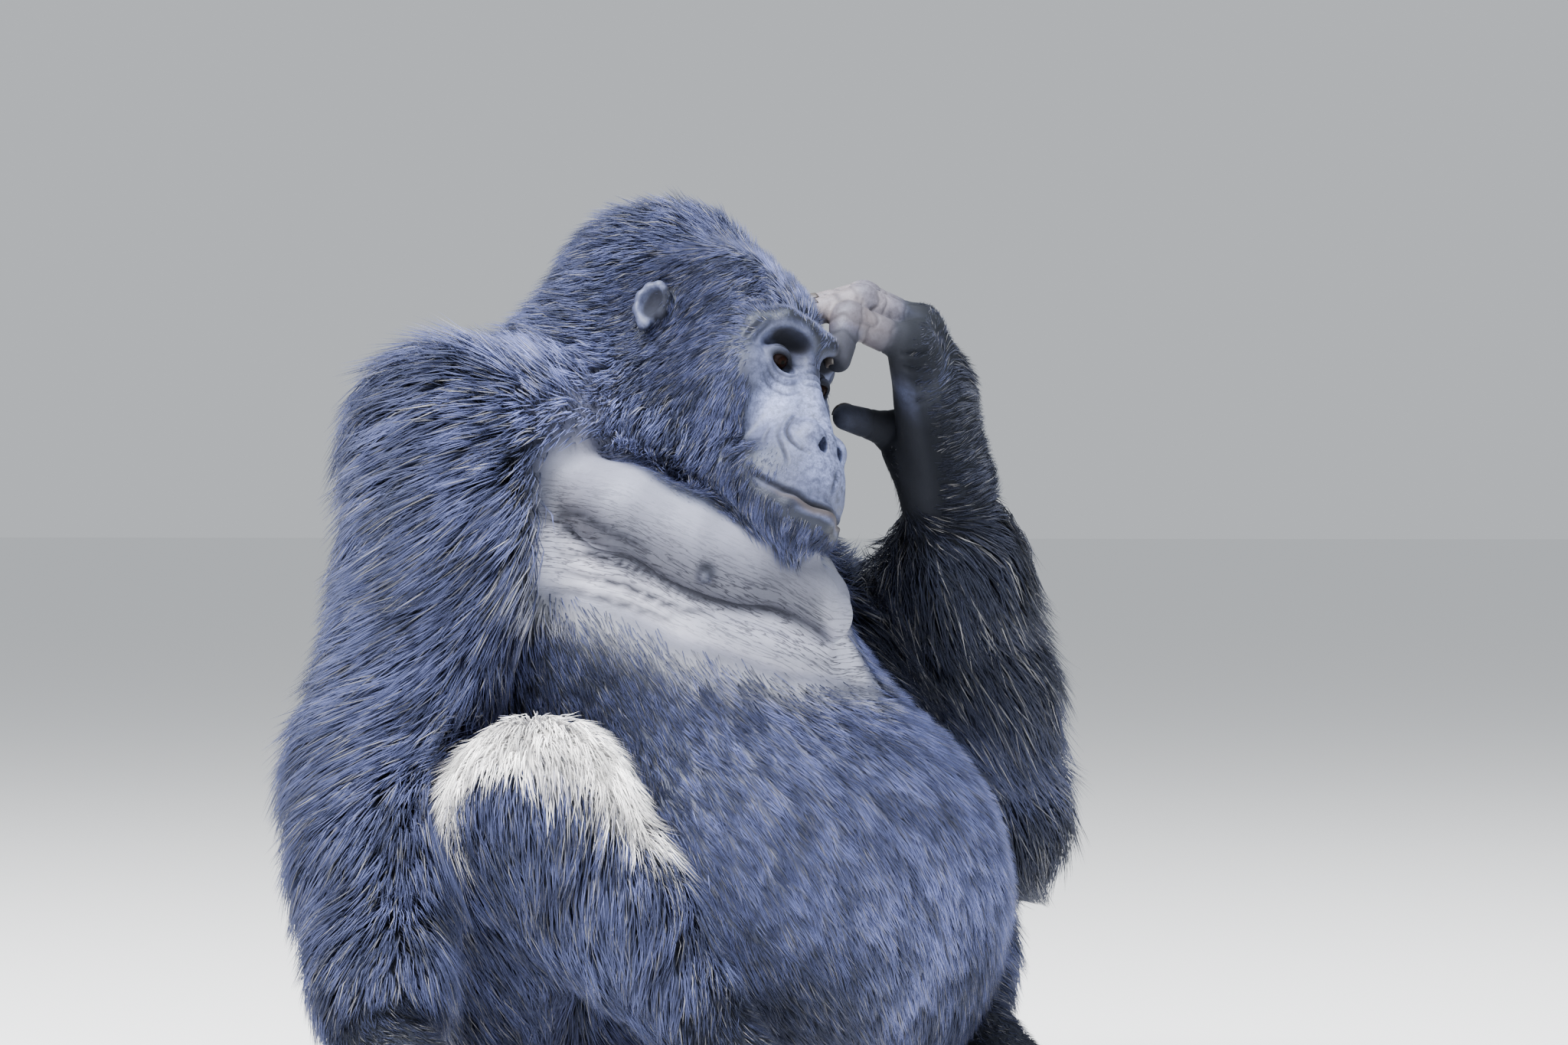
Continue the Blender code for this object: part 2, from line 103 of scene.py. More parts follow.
# %% [markdown]
# ## The axes of the head and the trunk
# A pose is easiest to keep when each mass of the body has its own axes. The head is turned to the
# animal's right, dipped and rolled onto the hand; the trunk leans to its left. Points of the face are
# then given in millimetres from the middle of the eyes, as a sculptor would measure them.

# %% Axes and joints
def frame_axes(turn, dip, roll):
    """Rows: forward, left and up of a body part that is turned, dipped and rolled (degrees)."""
    turn, dip, roll = (math.radians(a) for a in (turn, dip, roll))
    forward = np.array([-math.sin(turn), -math.cos(turn), 0.0])
    left = np.array([math.cos(turn), -math.sin(turn), 0.0])
    dipped = forward * math.cos(dip) - UP * math.sin(dip)
    raised = UP * math.cos(dip) + forward * math.sin(dip)
    rolled_left = left * math.cos(roll) - raised * math.sin(roll)
    rolled_up = raised * math.cos(roll) + left * math.sin(roll)
    return np.stack([dipped, rolled_left, rolled_up])


HEAD_AXES = frame_axes(12.3, 9.3, 24.4)
TRUNK_AXES = frame_axes(5.8, 0.0, 11.6)
GROUND_CENTRE = np.array([-0.042, -0.169, 0.0])
EYE_SPACING = 72.0

JOINTS = {
    "right_shoulder": (-0.268, 0.024, 0.700), "left_shoulder": (0.153, -0.085, 0.560),
    "right_deltoid": (-0.280, 0.007, 0.600), "left_deltoid": (0.239, -0.153, 0.456),
    "right_elbow": (-0.356, 0.057, 0.350), "left_elbow": (0.367, -0.256, 0.300),
    "right_wrist": (-0.507, -0.051, 0.095), "left_wrist": (0.199, -0.303, 0.655),
    "right_hip": (-0.145, -0.009, 0.130), "left_hip": (0.134, 0.008, 0.130),
    "right_knee": (-0.343, -0.135, 0.325), "left_knee": (0.421, -0.149, 0.200),
    "right_ankle": (-0.261, -0.307, 0.075), "left_ankle": (0.204, -0.333, 0.075),
    "eyes": (-0.044, -0.264, 0.774),
}


def at(x, y, z):
    """A point of the joint table, moved so that the ground centre is the origin."""
    return np.array([x, y, z]) - GROUND_CENTRE


def joint(name):
    return at(*JOINTS[name])


def on_head(forward, left, up):
    """A point in millimetres from the middle of the eyes, along the head's own axes."""
    return joint("eyes") + (forward * HEAD_AXES[0] + left * HEAD_AXES[1] + up * HEAD_AXES[2]) * MM


def head_place(points):
    """World points as millimetres forward, left and up of the middle of the eyes."""
    return (points - joint("eyes")) @ HEAD_AXES.T / MM


def between(a, b, share):
    return a * (1.0 - share) + b * share


print("crown of the skull at", on_head(-190, 0, 140).round(3))

# %% [markdown]
# ## Blobs: eggs and limbs
# Soft bodies can be cut from a coarse cage with subdivision, sculpted, or built as a distance field.
# A field is chosen here, because forms that are named and measured one by one flow into each other by
# themselves, and the same table gives the coat its depth and the hair its direction. An `Egg` is an
# ellipsoid, a `Limb` is a rounded cone, and each can also carve. `coat` is the hair's depth over it,
# `flow` is the way its hair lies, and `blend` is how softly it joins the others.

# %% The two kinds of blob
class Egg:
    """An ellipsoid along its own axes."""

    def __init__(self, centre, radii, coat=0.0, flow=None, axes=np.eye(3), blend=0.03, carve=False):
        self.centre = np.asarray(centre, float)
        self.radii = np.asarray(radii, float)
        self.axes, self.coat, self.flow, self.blend, self.carve = axes, coat, flow, blend, carve

    def distance(self, points):
        local = (points - self.centre) @ self.axes.T
        scaled = np.linalg.norm(local / self.radii, axis=-1)
        slope = np.linalg.norm(local / self.radii ** 2, axis=-1) + 1e-9
        return scaled * (scaled - 1.0) / slope

    def depth(self, points):
        return np.full(len(points), self.coat)

    def reach(self):
        half = np.sqrt(((self.axes * self.radii[:, None]) ** 2).sum(0))
        return self.centre - half, self.centre + half


class Limb:
    """A straight limb with round ends, tapering from one radius to the other."""

    def __init__(self, start, end, radii, coat=0.0, flow=None, blend=0.03, carve=False):
        self.start = np.asarray(start, float)
        self.end = np.asarray(end, float)
        self.radii, self.flow, self.blend, self.carve = radii, flow, blend, carve
        self.coat = (coat, coat) if np.isscalar(coat) else coat

    def share(self, points):
        along = self.end - self.start
        return np.clip(((points - self.start) @ along) / (along @ along), 0.0, 1.0)

    def distance(self, points):
        share = self.share(points)
        away = np.linalg.norm(points - self.start - share[..., None] * (self.end - self.start), axis=-1)
        return away - (self.radii[0] + share * (self.radii[1] - self.radii[0]))

    def depth(self, points):
        return self.coat[0] + self.share(points) * (self.coat[1] - self.coat[0])

    def reach(self):
        low = np.minimum(self.start - self.radii[0], self.end - self.radii[1])
        high = np.maximum(self.start + self.radii[0], self.end + self.radii[1])
        return low, high


def chain(points, radii, coats=None, blend=0.03):
    """Limbs laid end to end."""
    coats = coats or [0.0] * len(points)
    return [Limb(points[i], points[i + 1], radii[i:i + 2], coats[i:i + 2], blend=blend)
            for i in range(len(points) - 1)]


def combed(blobs, flow):
    """The same blobs, with all their hair lying one way."""
    for blob in blobs:
        blob.flow = flow
    return blobs


def smooth_min(a, b, blend):
    mix = np.clip(0.5 + 0.5 * (b - a) / blend, 0.0, 1.0)
    return b * (1.0 - mix) + a * mix - blend * mix * (1.0 - mix)


def joined(total, own, blob):
    """A group's distance with one more blob, added or carved."""
    if blob.carve:
        return -smooth_min(-total, own, blob.blend)
    return smooth_min(total, own, blob.blend)


def whole_reach(blobs):
    lows, highs = zip(*[blob.reach() for blob in blobs if not blob.carve])
    return np.min(lows, 0), np.max(highs, 0)


print("kinds of blob:", Egg.__name__, Limb.__name__)

# %% Distances on a grid
COAT_MARGIN = 0.085


class Field:
    """Distances sampled on a box of cells; groups of blobs are added one by one."""

    def __init__(self, low, high, cell):
        self.low = np.asarray(low, float)
        self.cell = cell
        self.count = np.ceil((np.asarray(high) - self.low) / cell).astype(int) + 1
        self.values = np.full(self.count, 1.0, np.float32)

    def block(self, low, high):
        """The cells of a box, with room for the coat."""
        first = np.maximum(np.floor((low - COAT_MARGIN - self.low) / self.cell).astype(int), 0)
        last = np.ceil((high + COAT_MARGIN - self.low) / self.cell).astype(int) + 1
        return first, np.minimum(last, self.count)

    def add(self, blobs, blend):
        """Unite the group's blobs, each with its own blend, then unite the group with the rest."""
        first, last = self.block(*whole_reach(blobs))
        group = np.full(last - first, 1.0, np.float32)
        for blob in blobs:
            begin, end = self.block(*blob.reach())
            begin, end = np.maximum(begin, first), np.minimum(end, last)
            axes = [self.low[i] + self.cell * np.arange(begin[i], end[i]) for i in range(3)]
            points = np.stack(np.meshgrid(*axes, indexing="ij"), -1)
            part = tuple(slice(begin[i] - first[i], end[i] - first[i]) for i in range(3))
            group[part] = joined(group[part], blob.distance(points).astype(np.float32), blob)
        whole = tuple(slice(first[i], last[i]) for i in range(3))
        self.values[whole] = smooth_min(self.values[whole], group, blend)

    def at(self, points):
        """The field between the grid's points, by trilinear interpolation."""
        place = np.clip((points - self.low) / self.cell, 0.0, np.array(self.count) - 1.001)
        base = place.astype(int)
        part = place - base
        total = np.zeros(len(points))
        for corner in range(8):
            step = np.array([corner & 1, corner >> 1 & 1, corner >> 2 & 1])
            weight = np.prod(np.where(step, part, 1.0 - part), axis=1)
            spot = base + step
            total += weight * self.values[spot[:, 0], spot[:, 1], spot[:, 2]]
        return total

    def slope(self, points):
        """The direction in which the field grows, as unit vectors."""
        steps = np.eye(3) * self.cell
        grown = np.stack([self.at(points + step) - self.at(points - step) for step in steps], 1)
        return grown / (np.linalg.norm(grown, axis=1, keepdims=True) + 1e-9)

    def surface(self):
        """Vertices and quads of the surface where the field is zero, facing out."""
        grid = openvdb.FloatGrid()
        grid.background = 1.0
        grid.copyFromArray(self.values)
        points, quads = grid.convertToQuads(0.0)
        return points * self.cell + self.low, quads


print("room for the coat:", COAT_MARGIN, "m")

# %% [markdown]
# ## The trunk
# A seated silverback is mostly belly. It rests on the ground between the legs, the rib cage leans back
# over it, and two heavy breast muscles hang in front with a deep fold under them. The arms and the neck
# grow out of one mass of shoulder muscle. The hair of the back falls; that of the belly runs forward.

# %% Trunk blobs
DOWN = np.array([0.0, 0.0, -1.0])


def sweep(outward, backward, upward):
    """A hair direction: out along X, back along Y and up along Z."""
    line = np.array([outward, backward, upward], float)
    return line / np.linalg.norm(line)


def on_trunk(centre, radii, coat, flow, blend=0.08):
    return Egg(at(*centre), radii, coat, flow, TRUNK_AXES, blend)


def trunk_blobs():
    falling = sweep(0.0, 0.30, -1.0)
    forward = sweep(0.0, -0.60, -0.85)
    return [
        on_trunk((0.008, -0.174, 0.240), (0.262, 0.285, 0.236), 0.014, forward, 0.06),
        on_trunk((-0.004, -0.153, 0.150), (0.240, 0.250, 0.140), 0.012, forward, 0.06),
        on_trunk((-0.039, -0.092, 0.470), (0.190, 0.220, 0.210), 0.012, forward),
        on_trunk((-0.054, 0.004, 0.440), (0.120, 0.190, 0.250), 0.035, falling),
        on_trunk((-0.012, -0.019, 0.150), (0.155, 0.210, 0.140), 0.030, falling),
        on_trunk((-0.090, 0.017, 0.650), (0.120, 0.200, 0.115), 0.040, sweep(0.0, 0.8, -0.6), 0.07),
        Limb(joint("right_shoulder"), at(-0.091, -0.041, 0.640), (0.080, 0.100), (0.040, 0.020),
             sweep(-0.45, 0.78, -0.30), 0.07),
        Limb(joint("left_shoulder"), at(0.017, -0.048, 0.600), (0.080, 0.100), (0.030, 0.020),
             sweep(0.45, 0.70, -0.45), 0.07),
    ]


VIEW_TURN = math.radians(-60.0)
VIEW_ACROSS = np.array([math.cos(VIEW_TURN), math.sin(VIEW_TURN), 0.0])
VIEW_TOWARDS = np.array([math.sin(VIEW_TURN), -math.cos(VIEW_TURN), 0.0])
VIEW_CENTRE = at(0.026, -0.2045, 0.0)


def seen(across, height, towards):
    """A point by its place across the view, its height and its nearness to the viewer."""
    return VIEW_CENTRE + VIEW_ACROSS * across + VIEW_TOWARDS * towards + UP * height


def seen_all(*spots):
    return [seen(*spot) for spot in spots]


BREAST_LINE = seen_all((-0.215, 0.655, 0.145), (-0.160, 0.624, 0.184), (-0.100, 0.594, 0.184),
                       (-0.050, 0.568, 0.172), (0.000, 0.546, 0.145), (0.040, 0.522, 0.108))
BREAST_RADII = np.array([0.036, 0.045, 0.047, 0.046, 0.040, 0.031])
LEFT_BREAST_LINE = [at(0.100, -0.105, 0.575), at(0.085, -0.175, 0.550), at(0.040, -0.232, 0.535)]
BREAST_COAT = 0.002
NIPPLE = seen(-0.080, 0.569, 0.222)


def breast_blobs():
    """Two heavy rolls of muscle from the armpits to the middle of the chest, and a pointed nipple."""
    rolls = chain(BREAST_LINE, BREAST_RADII, [BREAST_COAT] * 6)
    rolls += chain(LEFT_BREAST_LINE, (0.038, 0.042, 0.038), [BREAST_COAT] * 3, 0.04)
    point = NIPPLE + VIEW_TOWARDS * 0.016 + UP * -0.008
    return combed(rolls + [Limb(NIPPLE, point, (0.012, 0.0055), blend=0.010)], sweep(0.0, -0.6, -0.8))


print("trunk:", len(trunk_blobs()), "blobs, breast:", len(breast_blobs()))


# %% [markdown]
# ## The head
# The skull carries a high crest, a brow like a visor, deep sockets and a long upper lip. Each form is
# an egg or a limb in head millimetres, given once and mirrored. The sockets and nostrils are carved.
# Eyelids are a shell round each eyeball, which an almond-shaped cut opens again.

# %% Head blobs
SIDES = (-1, 1)
FACE_WAY, LEFT_WAY, CROWN_WAY = HEAD_AXES


def head_egg(centre, radii, coat=0.0, flow=None, blend=0.02, carve=False, axes=HEAD_AXES):
    return Egg(on_head(*centre), radii, coat, flow, axes, blend, carve)


def head_limb(start, end, radii, coat=0.0, flow=None, blend=0.02, carve=False):
    return Limb(on_head(*start), on_head(*end), radii, coat, flow, blend, carve)


def unit(vectors):
    return vectors / np.maximum(np.linalg.norm(vectors, axis=-1, keepdims=True), 1e-9)


def head_way(forward, up):
    """A hair direction along the head, forward and up."""
    return unit(FACE_WAY * forward + CROWN_WAY * up)


def skull_blobs():
    back = head_way(-1.0, -0.25)
    temple = head_way(-0.12, -1.0)
    nape = head_way(-0.6, -0.8)
    beard = head_way(0.15, -1.0)
    brow = head_way(-0.8, 0.6)
    brow_end = head_way(-0.8, 0.3)
    blobs = [
        head_egg((-125, 0, 18), (0.090, 0.072, 0.070), 0.012, temple),
        head_limb((-52, 0, 46), (-195, 0, 92), (0.040, 0.044), (0.012, 0.022), back, 0.035),
        head_egg((-240, 0, 48), (0.068, 0.075, 0.080), 0.028, nape, 0.04),
        head_limb((0, -18, 33), (0, 18, 33), (0.014, 0.014), 0.004, head_way(-0.5, 0.9), 0.016),
        head_egg((2, 0, 12), (0.014, 0.015, 0.020), 0.0, None, 0.012),
        head_limb((-42, 0, -20), (44, 0, -98), (0.050, 0.042)),
        head_egg((48, 0, -118), (0.054, 0.060, 0.046)),
        head_egg((85, 0, -153), (0.028, 0.035, 0.025), 0.010, beard, 0.015),
        head_limb((-60, 0, -146), (62, 0, -162), (0.045, 0.032), 0.026, beard),
        head_limb((80, 0, -156), (66, 0, -188), (0.026, 0.020), 0.014, beard, 0.015),
        Limb(at(-0.092, -0.001, 0.680), on_head(-228, 0, 12), (0.125, 0.084), (0.035, 0.026),
             sweep(0.0, 0.75, -0.6), 0.06),
        Limb(at(-0.100, -0.046, 0.640), on_head(-90, 0, -70), (0.100, 0.080), (0.010, 0.020), beard, 0.05),
    ]
    for s in SIDES:
        blobs += [
            head_egg((-118, 40 * s, 42), (0.078, 0.036, 0.062), 0.012, temple),
            head_egg((-66, 52 * s, 0), (0.040, 0.026, 0.050), 0.008, temple),
            head_limb((-10, 40 * s, 36), (0, 18 * s, 34), (0.012, 0.013), 0.004, brow, 0.014),
            head_limb((-28, 60 * s, 20), (-10, 40 * s, 36), (0.011, 0.012), 0.004, brow, 0.014),
            head_limb((-34, 62 * s, -14), (-28, 60 * s, 20), (0.012, 0.011), 0.004, brow_end, 0.014),
            head_egg((-32, 56 * s, -28), (0.036, 0.026, 0.026), 0.004, head_way(-0.3, -0.95)),
            head_limb((-75, 56 * s, -118), (62, 30 * s, -155), (0.038, 0.031), (0.024, 0.020), beard),
            head_egg((-48, 56 * s, -68), (0.055, 0.034, 0.068), 0.014, head_way(0.12, -1.0)),
        ]
    return blobs


print("skull:", len(skull_blobs()), "blobs")

# %% Nose, mouth, eyes and ears


SLOPE = head_way(0.77, -0.64)
NOSTRIL_AXES = np.stack([SLOPE, LEFT_WAY, np.cross(SLOPE, LEFT_WAY)])


def nose_and_mouth_blobs():
    """A broad nose with thick wings over a long convex upper lip."""
    blobs = [
        head_limb((12, 0, -6), (58, 0, -58), (0.010, 0.012), blend=0.016),             # bridge
        head_egg((60, 0, -114), (0.044, 0.040, 0.034), blend=0.016),                   # upper lip
        head_limb((88, -15, -128), (88, 15, -128), (0.0145, 0.0145), blend=0.014),
        head_egg((70, 0, -75), (0.015, 0.012, 0.014), blend=0.010),                    # tip of the nose
        head_limb((77, 0, -80), (81, 0, -97), (0.0052, 0.0058), blend=0.005),          # septum
    ]
    for s in SIDES:
        blobs += [
            head_limb((46, 52 * s, -128), (80, 28 * s, -130), (0.013, 0.015), blend=0.018),
            head_egg((62, 20 * s, -78), (0.0235, 0.0190, 0.0220), blend=0.005),      # nose wing
            head_egg((69, 21 * s, -91), (0.0165, 0.0130, 0.0140), blend=0.006),
            head_limb((54, 52 * s, -145), (91, 32 * s, -156), (0.010, 0.012), blend=0.012),   # lower lip
            head_limb((91, 32 * s, -156), (108, 0, -153), (0.012, 0.0130), blend=0.010),
            head_egg((76, 14 * s, -82), (0.0140, 0.0085, 0.0132), blend=0.004, carve=True, axes=NOSTRIL_AXES),
            head_limb((72, 12 * s, -85), (54, 10 * s, -93), (0.0062, 0.0045), blend=0.003, carve=True),
        ]
    return blobs


EYE_PLACE = (-3.5, EYE_SPACING / 2, -4.0)


def eye_socket_blobs():
    """Sockets, then lids as a shell round each ball, then the opening between the lids."""
    forward, half, up = EYE_PLACE
    blobs = []
    for s in SIDES:
        slant = 0.2 * s
        tilt = np.stack([FACE_WAY, unit(LEFT_WAY + slant * CROWN_WAY), unit(CROWN_WAY - slant * LEFT_WAY)])
        blobs += [
            head_egg((8, (half - 1) * s, 2), (0.014, 0.021, 0.017), blend=0.008, carve=True),
            head_egg((5, (half - 4) * s, 20), (0.017, 0.019, 0.010), blend=0.006, carve=True),
            head_egg((forward - 0.5, half * s, up), (0.0150, 0.0170, 0.0150), blend=0.005),
            head_limb((8, 14 * s, -10), (13, 26 * s, -20), (0.006, 0.005), blend=0.012),    # inner pouch
            head_limb((9, 30 * s, -23), (0, 50 * s, -16), (0.004, 0.004), blend=0.010),     # bag below
            head_egg((forward + 14, half * s, up - 3.5), (0.0125, 0.0160, 0.0078), blend=0.002,
                     carve=True, axes=tilt),
        ]
    return blobs


EAR_RIM = ((-131, 93, 25), (-139, 98, 29), (-148, 101, 24), (-153, 103, 12), (-151, 102, -2), (-143, 99, -12))
EAR_RIM_RADIUS = 0.0048


def ear_blobs():
    """A small ear: a disc, a rolled rim round it, a lobe, a carved bowl and the knob in front of it."""
    blobs = []
    for s in SIDES:
        rim = [(forward, left * s, up) for forward, left, up in EAR_RIM]
        blobs.append(head_egg((-140, 88 * s, 8), (0.0150, 0.014, 0.022), blend=0.006))
        blobs += [head_limb(start, end, (EAR_RIM_RADIUS, EAR_RIM_RADIUS), blend=0.004)
                  for start, end in zip(rim[:-1], rim[1:])]
        blobs.append(head_egg((-138, 97 * s, -15), (0.0070, 0.0055, 0.0070), blend=0.005))
        blobs.append(head_egg((-137, 105 * s, 9), (0.0125, 0.0140, 0.0160), blend=0.003, carve=True))
        blobs.append(head_egg((-127, 92 * s, 1), (0.0050, 0.0050, 0.0060), blend=0.004))
    return blobs


print("head blobs:", len(skull_blobs() + nose_and_mouth_blobs() + eye_socket_blobs() + ear_blobs()))

# %% [markdown]
# ## Arms and hands
# The right arm hangs to the ground beside the knee. The left elbow is raised by the left knee, and its
# hand is folded against the brow. The coat is deepest at the elbows. Hair runs back and down over the
# upper arm, and down the raised forearm towards the elbow, with a long cuff under the wrist.

# %% Arm and hand blobs
DIGIT_SPREAD = (-0.040, -0.014, 0.012, 0.037)
FINGER_RADII = (0.0185, 0.0175, 0.0135)
FINGER_NAMES = ("index", "middle", "ring", "little")
LEFT_FINGERS = (
    ((0.167, -0.279, 0.815), (0.123, -0.252, 0.845), (0.082, -0.232, 0.840)),
    ((0.144, -0.298, 0.825), (0.089, -0.264, 0.852), (0.041, -0.230, 0.842)),
    ((0.115, -0.315, 0.820), (0.059, -0.278, 0.848), (0.013, -0.246, 0.835)),
    ((0.086, -0.324, 0.800), (0.029, -0.279, 0.829), (0.004, -0.282, 0.786)),
)
LEFT_THUMB = ((0.183, -0.287, 0.690), (0.159, -0.255, 0.715), (0.110, -0.231, 0.728))


def arm_blobs(side, coats, cuff, upper_flow, fore_flow):
    shoulder, deltoid = joint(side + "_shoulder"), joint(side + "_deltoid")
    elbow, wrist = joint(side + "_elbow"), joint(side + "_wrist")
    upper = chain([shoulder, deltoid, elbow], (0.060, 0.077, 0.057), (coats[0], coats[0], coats[1]), 0.05)
    fore = chain([elbow, between(elbow, wrist, 0.35), between(elbow, wrist, 0.8), wrist],
                 (0.054, 0.056, 0.047, 0.038), (coats[1], coats[2], cuff, 0.018), 0.05)
    return combed(upper, upper_flow) + combed(fore, fore_flow)


def hand_blobs(side, fingers, thumb):
    """A palm that fans from the wrist to the knuckles and the root of the thumb."""
    wrist = joint(side + "_wrist")
    ahead = (fingers[1][0] - wrist) / np.linalg.norm(fingers[1][0] - wrist)
    blobs = [Limb(wrist, knuckle, (0.031, 0.0200), (0.009, 0.005), ahead, 0.02) for knuckle, _, _ in fingers]
    blobs.append(Limb(wrist, thumb[0], (0.032, 0.022), (0.009, 0.003), ahead, 0.02))
    return blobs


def left_palm_blobs():
    """The raised hand is seen edge-on: a deep heel, a thick thumb root and a humped, furry back."""
    away = unit(VIEW_ACROSS * 0.75 + UP * 0.45)
    rough = unit(VIEW_ACROSS * 0.8 + UP * -0.4)
    wrist = joint("left_wrist")
    knuckles = np.mean([finger[0] for finger in left_fingers], 0)
    last = left_fingers[3][0]
    hump = between(wrist, knuckles, 0.62) + away * 0.010
    heel = between(wrist, left_thumb[1], 0.55)
    return [
        Limb(wrist + away * 0.006, hump, (0.042, 0.036), 0.011, rough, 0.02),
        Limb(hump, knuckles + away * 0.004, (0.036, 0.026), (0.011, 0.008), rough, 0.02),
        Limb(between(wrist, last, 0.1), last, (0.036, 0.023), (0.008, 0.003), rough, 0.02),
        Limb(wrist - VIEW_ACROSS * 0.012, heel, (0.038, 0.027), (0.008, 0.0), rough, 0.02),
        Limb(heel, left_thumb[1], (0.027, 0.019), 0.0, None, 0.015),
    ]


def places_from(origin, ahead, across):
    """A way to name points forward and sideways of the origin, at a height above the ground."""
    def place(forward, sideways, height):
        spot = origin + ahead * forward + across * sideways
        return np.array([spot[0], spot[1], height])
    return place


def right_hand_points():
    """The right hand lies half closed on the ground, on the backs of its fingers."""
    place = places_from(joint("right_wrist"), np.array([-0.352, -0.936, 0.0]), np.array([-0.936, 0.352, 0.0]))
    fingers = [[place(0.105, offset, 0.056), place(0.155, offset, 0.022), place(0.110, offset, 0.011)]
               for offset in DIGIT_SPREAD]
    thumb = [place(0.020, -0.030, 0.075), place(0.060, -0.062, 0.055), place(0.100, -0.058, 0.033)]
    return fingers, thumb


right_fingers, right_thumb = right_hand_points()
left_fingers = [[at(*point) for point in finger] for finger in LEFT_FINGERS]
left_thumb = [at(*point) for point in LEFT_THUMB]
print("wrists at", joint("right_wrist").round(3), joint("left_wrist").round(3))

# %% [markdown]
# ## Legs and feet
# The legs are short and folded, knees out, soles down. An ape's foot is a second hand: the big toe
# stands off to the inside like a thumb. Hair falls over the knee and runs down the shin.

# %% Leg and foot blobs
TOE_SPREAD = (0.018, -0.006, -0.028, -0.046)
TOE_NAMES = ("second", "third", "fourth", "little")


def leg_blobs(side, outward):
    hip, knee, ankle = joint(side + "_hip"), joint(side + "_knee"), joint(side + "_ankle")
    thigh = chain([hip, knee], (0.125, 0.080), (0.020, 0.022), 0.05)
    shin = chain([knee, between(knee, ankle, 0.4), ankle], (0.072, 0.062, 0.038), (0.022, 0.022, 0.015), 0.04)
    return combed(thigh + shin, sweep(outward * 0.35, -0.25, -1.0))


def foot_points(side, ahead, inward):
    """The heel, the four toes and the big toe, each toe as three joints."""
    ahead = np.array([ahead[0], ahead[1], 0.0]) / np.hypot(*ahead)
    place = places_from(joint(side + "_ankle"), ahead, np.array([-ahead[1], ahead[0], 0.0]) * inward)
    toes = []
    for number, offset in enumerate(TOE_SPREAD):
        reach = 0.125 - abs(offset - 0.018) * 0.45
        toes.append([place(reach, offset, 0.025), place(reach + 0.032, offset, 0.021),
                     place(reach + 0.060 - 0.006 * number, offset, 0.013)])
    big = [place(0.060, 0.045, 0.027), place(0.105, 0.067, 0.023), place(0.138, 0.075, 0.017)]
    return place(-0.045, 0.0, 0.032), toes, big


def foot_blobs(side, heel, toes, big):
    ankle = joint(side + "_ankle")
    ahead = (toes[1][0] - heel) / np.linalg.norm(toes[1][0] - heel)
    blobs = [Limb(ankle, heel, (0.036, 0.033), (0.012, 0.0), DOWN)]
    blobs += [Limb(heel, toe[0], (0.032, 0.019), (0.003, 0.002), ahead) for toe in toes]
    blobs.append(Limb(ankle, toes[0][0], (0.036, 0.022), (0.010, 0.002), ahead))
    blobs.append(Limb(heel, big[0], (0.030, 0.023), 0.002, ahead))
    return blobs


print("toes on a foot:", len(TOE_NAMES) + 1)

# %% All groups and digits


FOOT_WAYS = {"right": ((-0.10, -1.0), -1), "left": ((-0.45, -0.85), 1)}
TOE_RADII = (0.0165, 0.0155, 0.0125)
BIG_TOE_RADII = (0.021, 0.020, 0.0155)
THUMB_RADII = (0.0210, 0.0180, 0.0140)

DIGIT_BLEND = 0.0045

GROUPS = {
    "trunk": (trunk_blobs(), 0.012),
    "breast": (breast_blobs(), 0.016),
    "head": (skull_blobs() + nose_and_mouth_blobs() + eye_socket_blobs() + ear_blobs(), 0.018),
    "right_leg": (leg_blobs("right", -1), 0.014),
    "left_leg": (leg_blobs("left", 1), 0.014),
    "right_arm": (arm_blobs("right", (0.042, 0.042, 0.035), 0.024, sweep(-0.40, 0.65, -0.62),
                            sweep(-0.15, 0.25, -1.0)), 0.035),
    "left_arm": (arm_blobs("left", (0.040, 0.045, 0.045), 0.045, sweep(0.35, 0.45, -0.80),
                           sweep(0.45, -0.10, -0.95)), 0.014),
    "right_hand": (hand_blobs("right", right_fingers, right_thumb), 0.010),
    "left_hand": (hand_blobs("left", left_fingers, left_thumb) + left_palm_blobs(), 0.014),
}
DIGITS = {}
for side, fingers, thumb in (("right", right_fingers, right_thumb), ("left", left_fingers, left_thumb)):
    for name, finger in zip(FINGER_NAMES, fingers):
        DIGITS[side + "_" + name + "_finger"] = (finger, FINGER_RADII)
    DIGITS[side + "_thumb"] = (thumb, THUMB_RADII)
    heel, toes, big = foot_points(side, *FOOT_WAYS[side])
    GROUPS[side + "_foot"] = (foot_blobs(side, heel, toes, big), 0.010)
    for name, toe in zip(TOE_NAMES, toes):
        DIGITS[side + "_" + name + "_toe"] = (toe, TOE_RADII)
    DIGITS[side + "_big_toe"] = (big, BIG_TOE_RADII)
for name, (points, radii) in DIGITS.items():
    GROUPS[name] = (chain(points, radii, blend=0.008), DIGIT_BLEND)
print("groups:", len(GROUPS), "blobs:", sum(len(blobs) for blobs, _ in GROUPS.values()))

# %% [markdown]
# ## The rough skin
# The field is sampled on one grid over the whole body and turned into quads where it is zero, which is
# what a remesher does. Seven millimetres is enough under fur. The same grid is kept for the coat,
# because its slope is the skin's normal and its value is the height above the skin.

# %% Body field and rough mesh
CELL = 0.007
ROOM = 0.03

body_field = Field(np.array(CAD_BOX[0]) - ROOM, np.array(CAD_BOX[1]) + ROOM, CELL)
for blobs, blend in GROUPS.values():
    body_field.add(blobs, blend)
rough_points, rough_quads = body_field.surface()
print("rough skin:", len(rough_points), "points", len(rough_quads), "quads", clock())

# %% [markdown]
# ## Finer skin where it is bare
# Lids and lips need points under a millimetre apart, and the back doesn't. So the rough mesh is
# subdivided only in chosen regions, each level halving the spacing, and after every level the new points
# slide onto the exact field with a few Newton steps. A multiresolution sculpt does the same by hand.

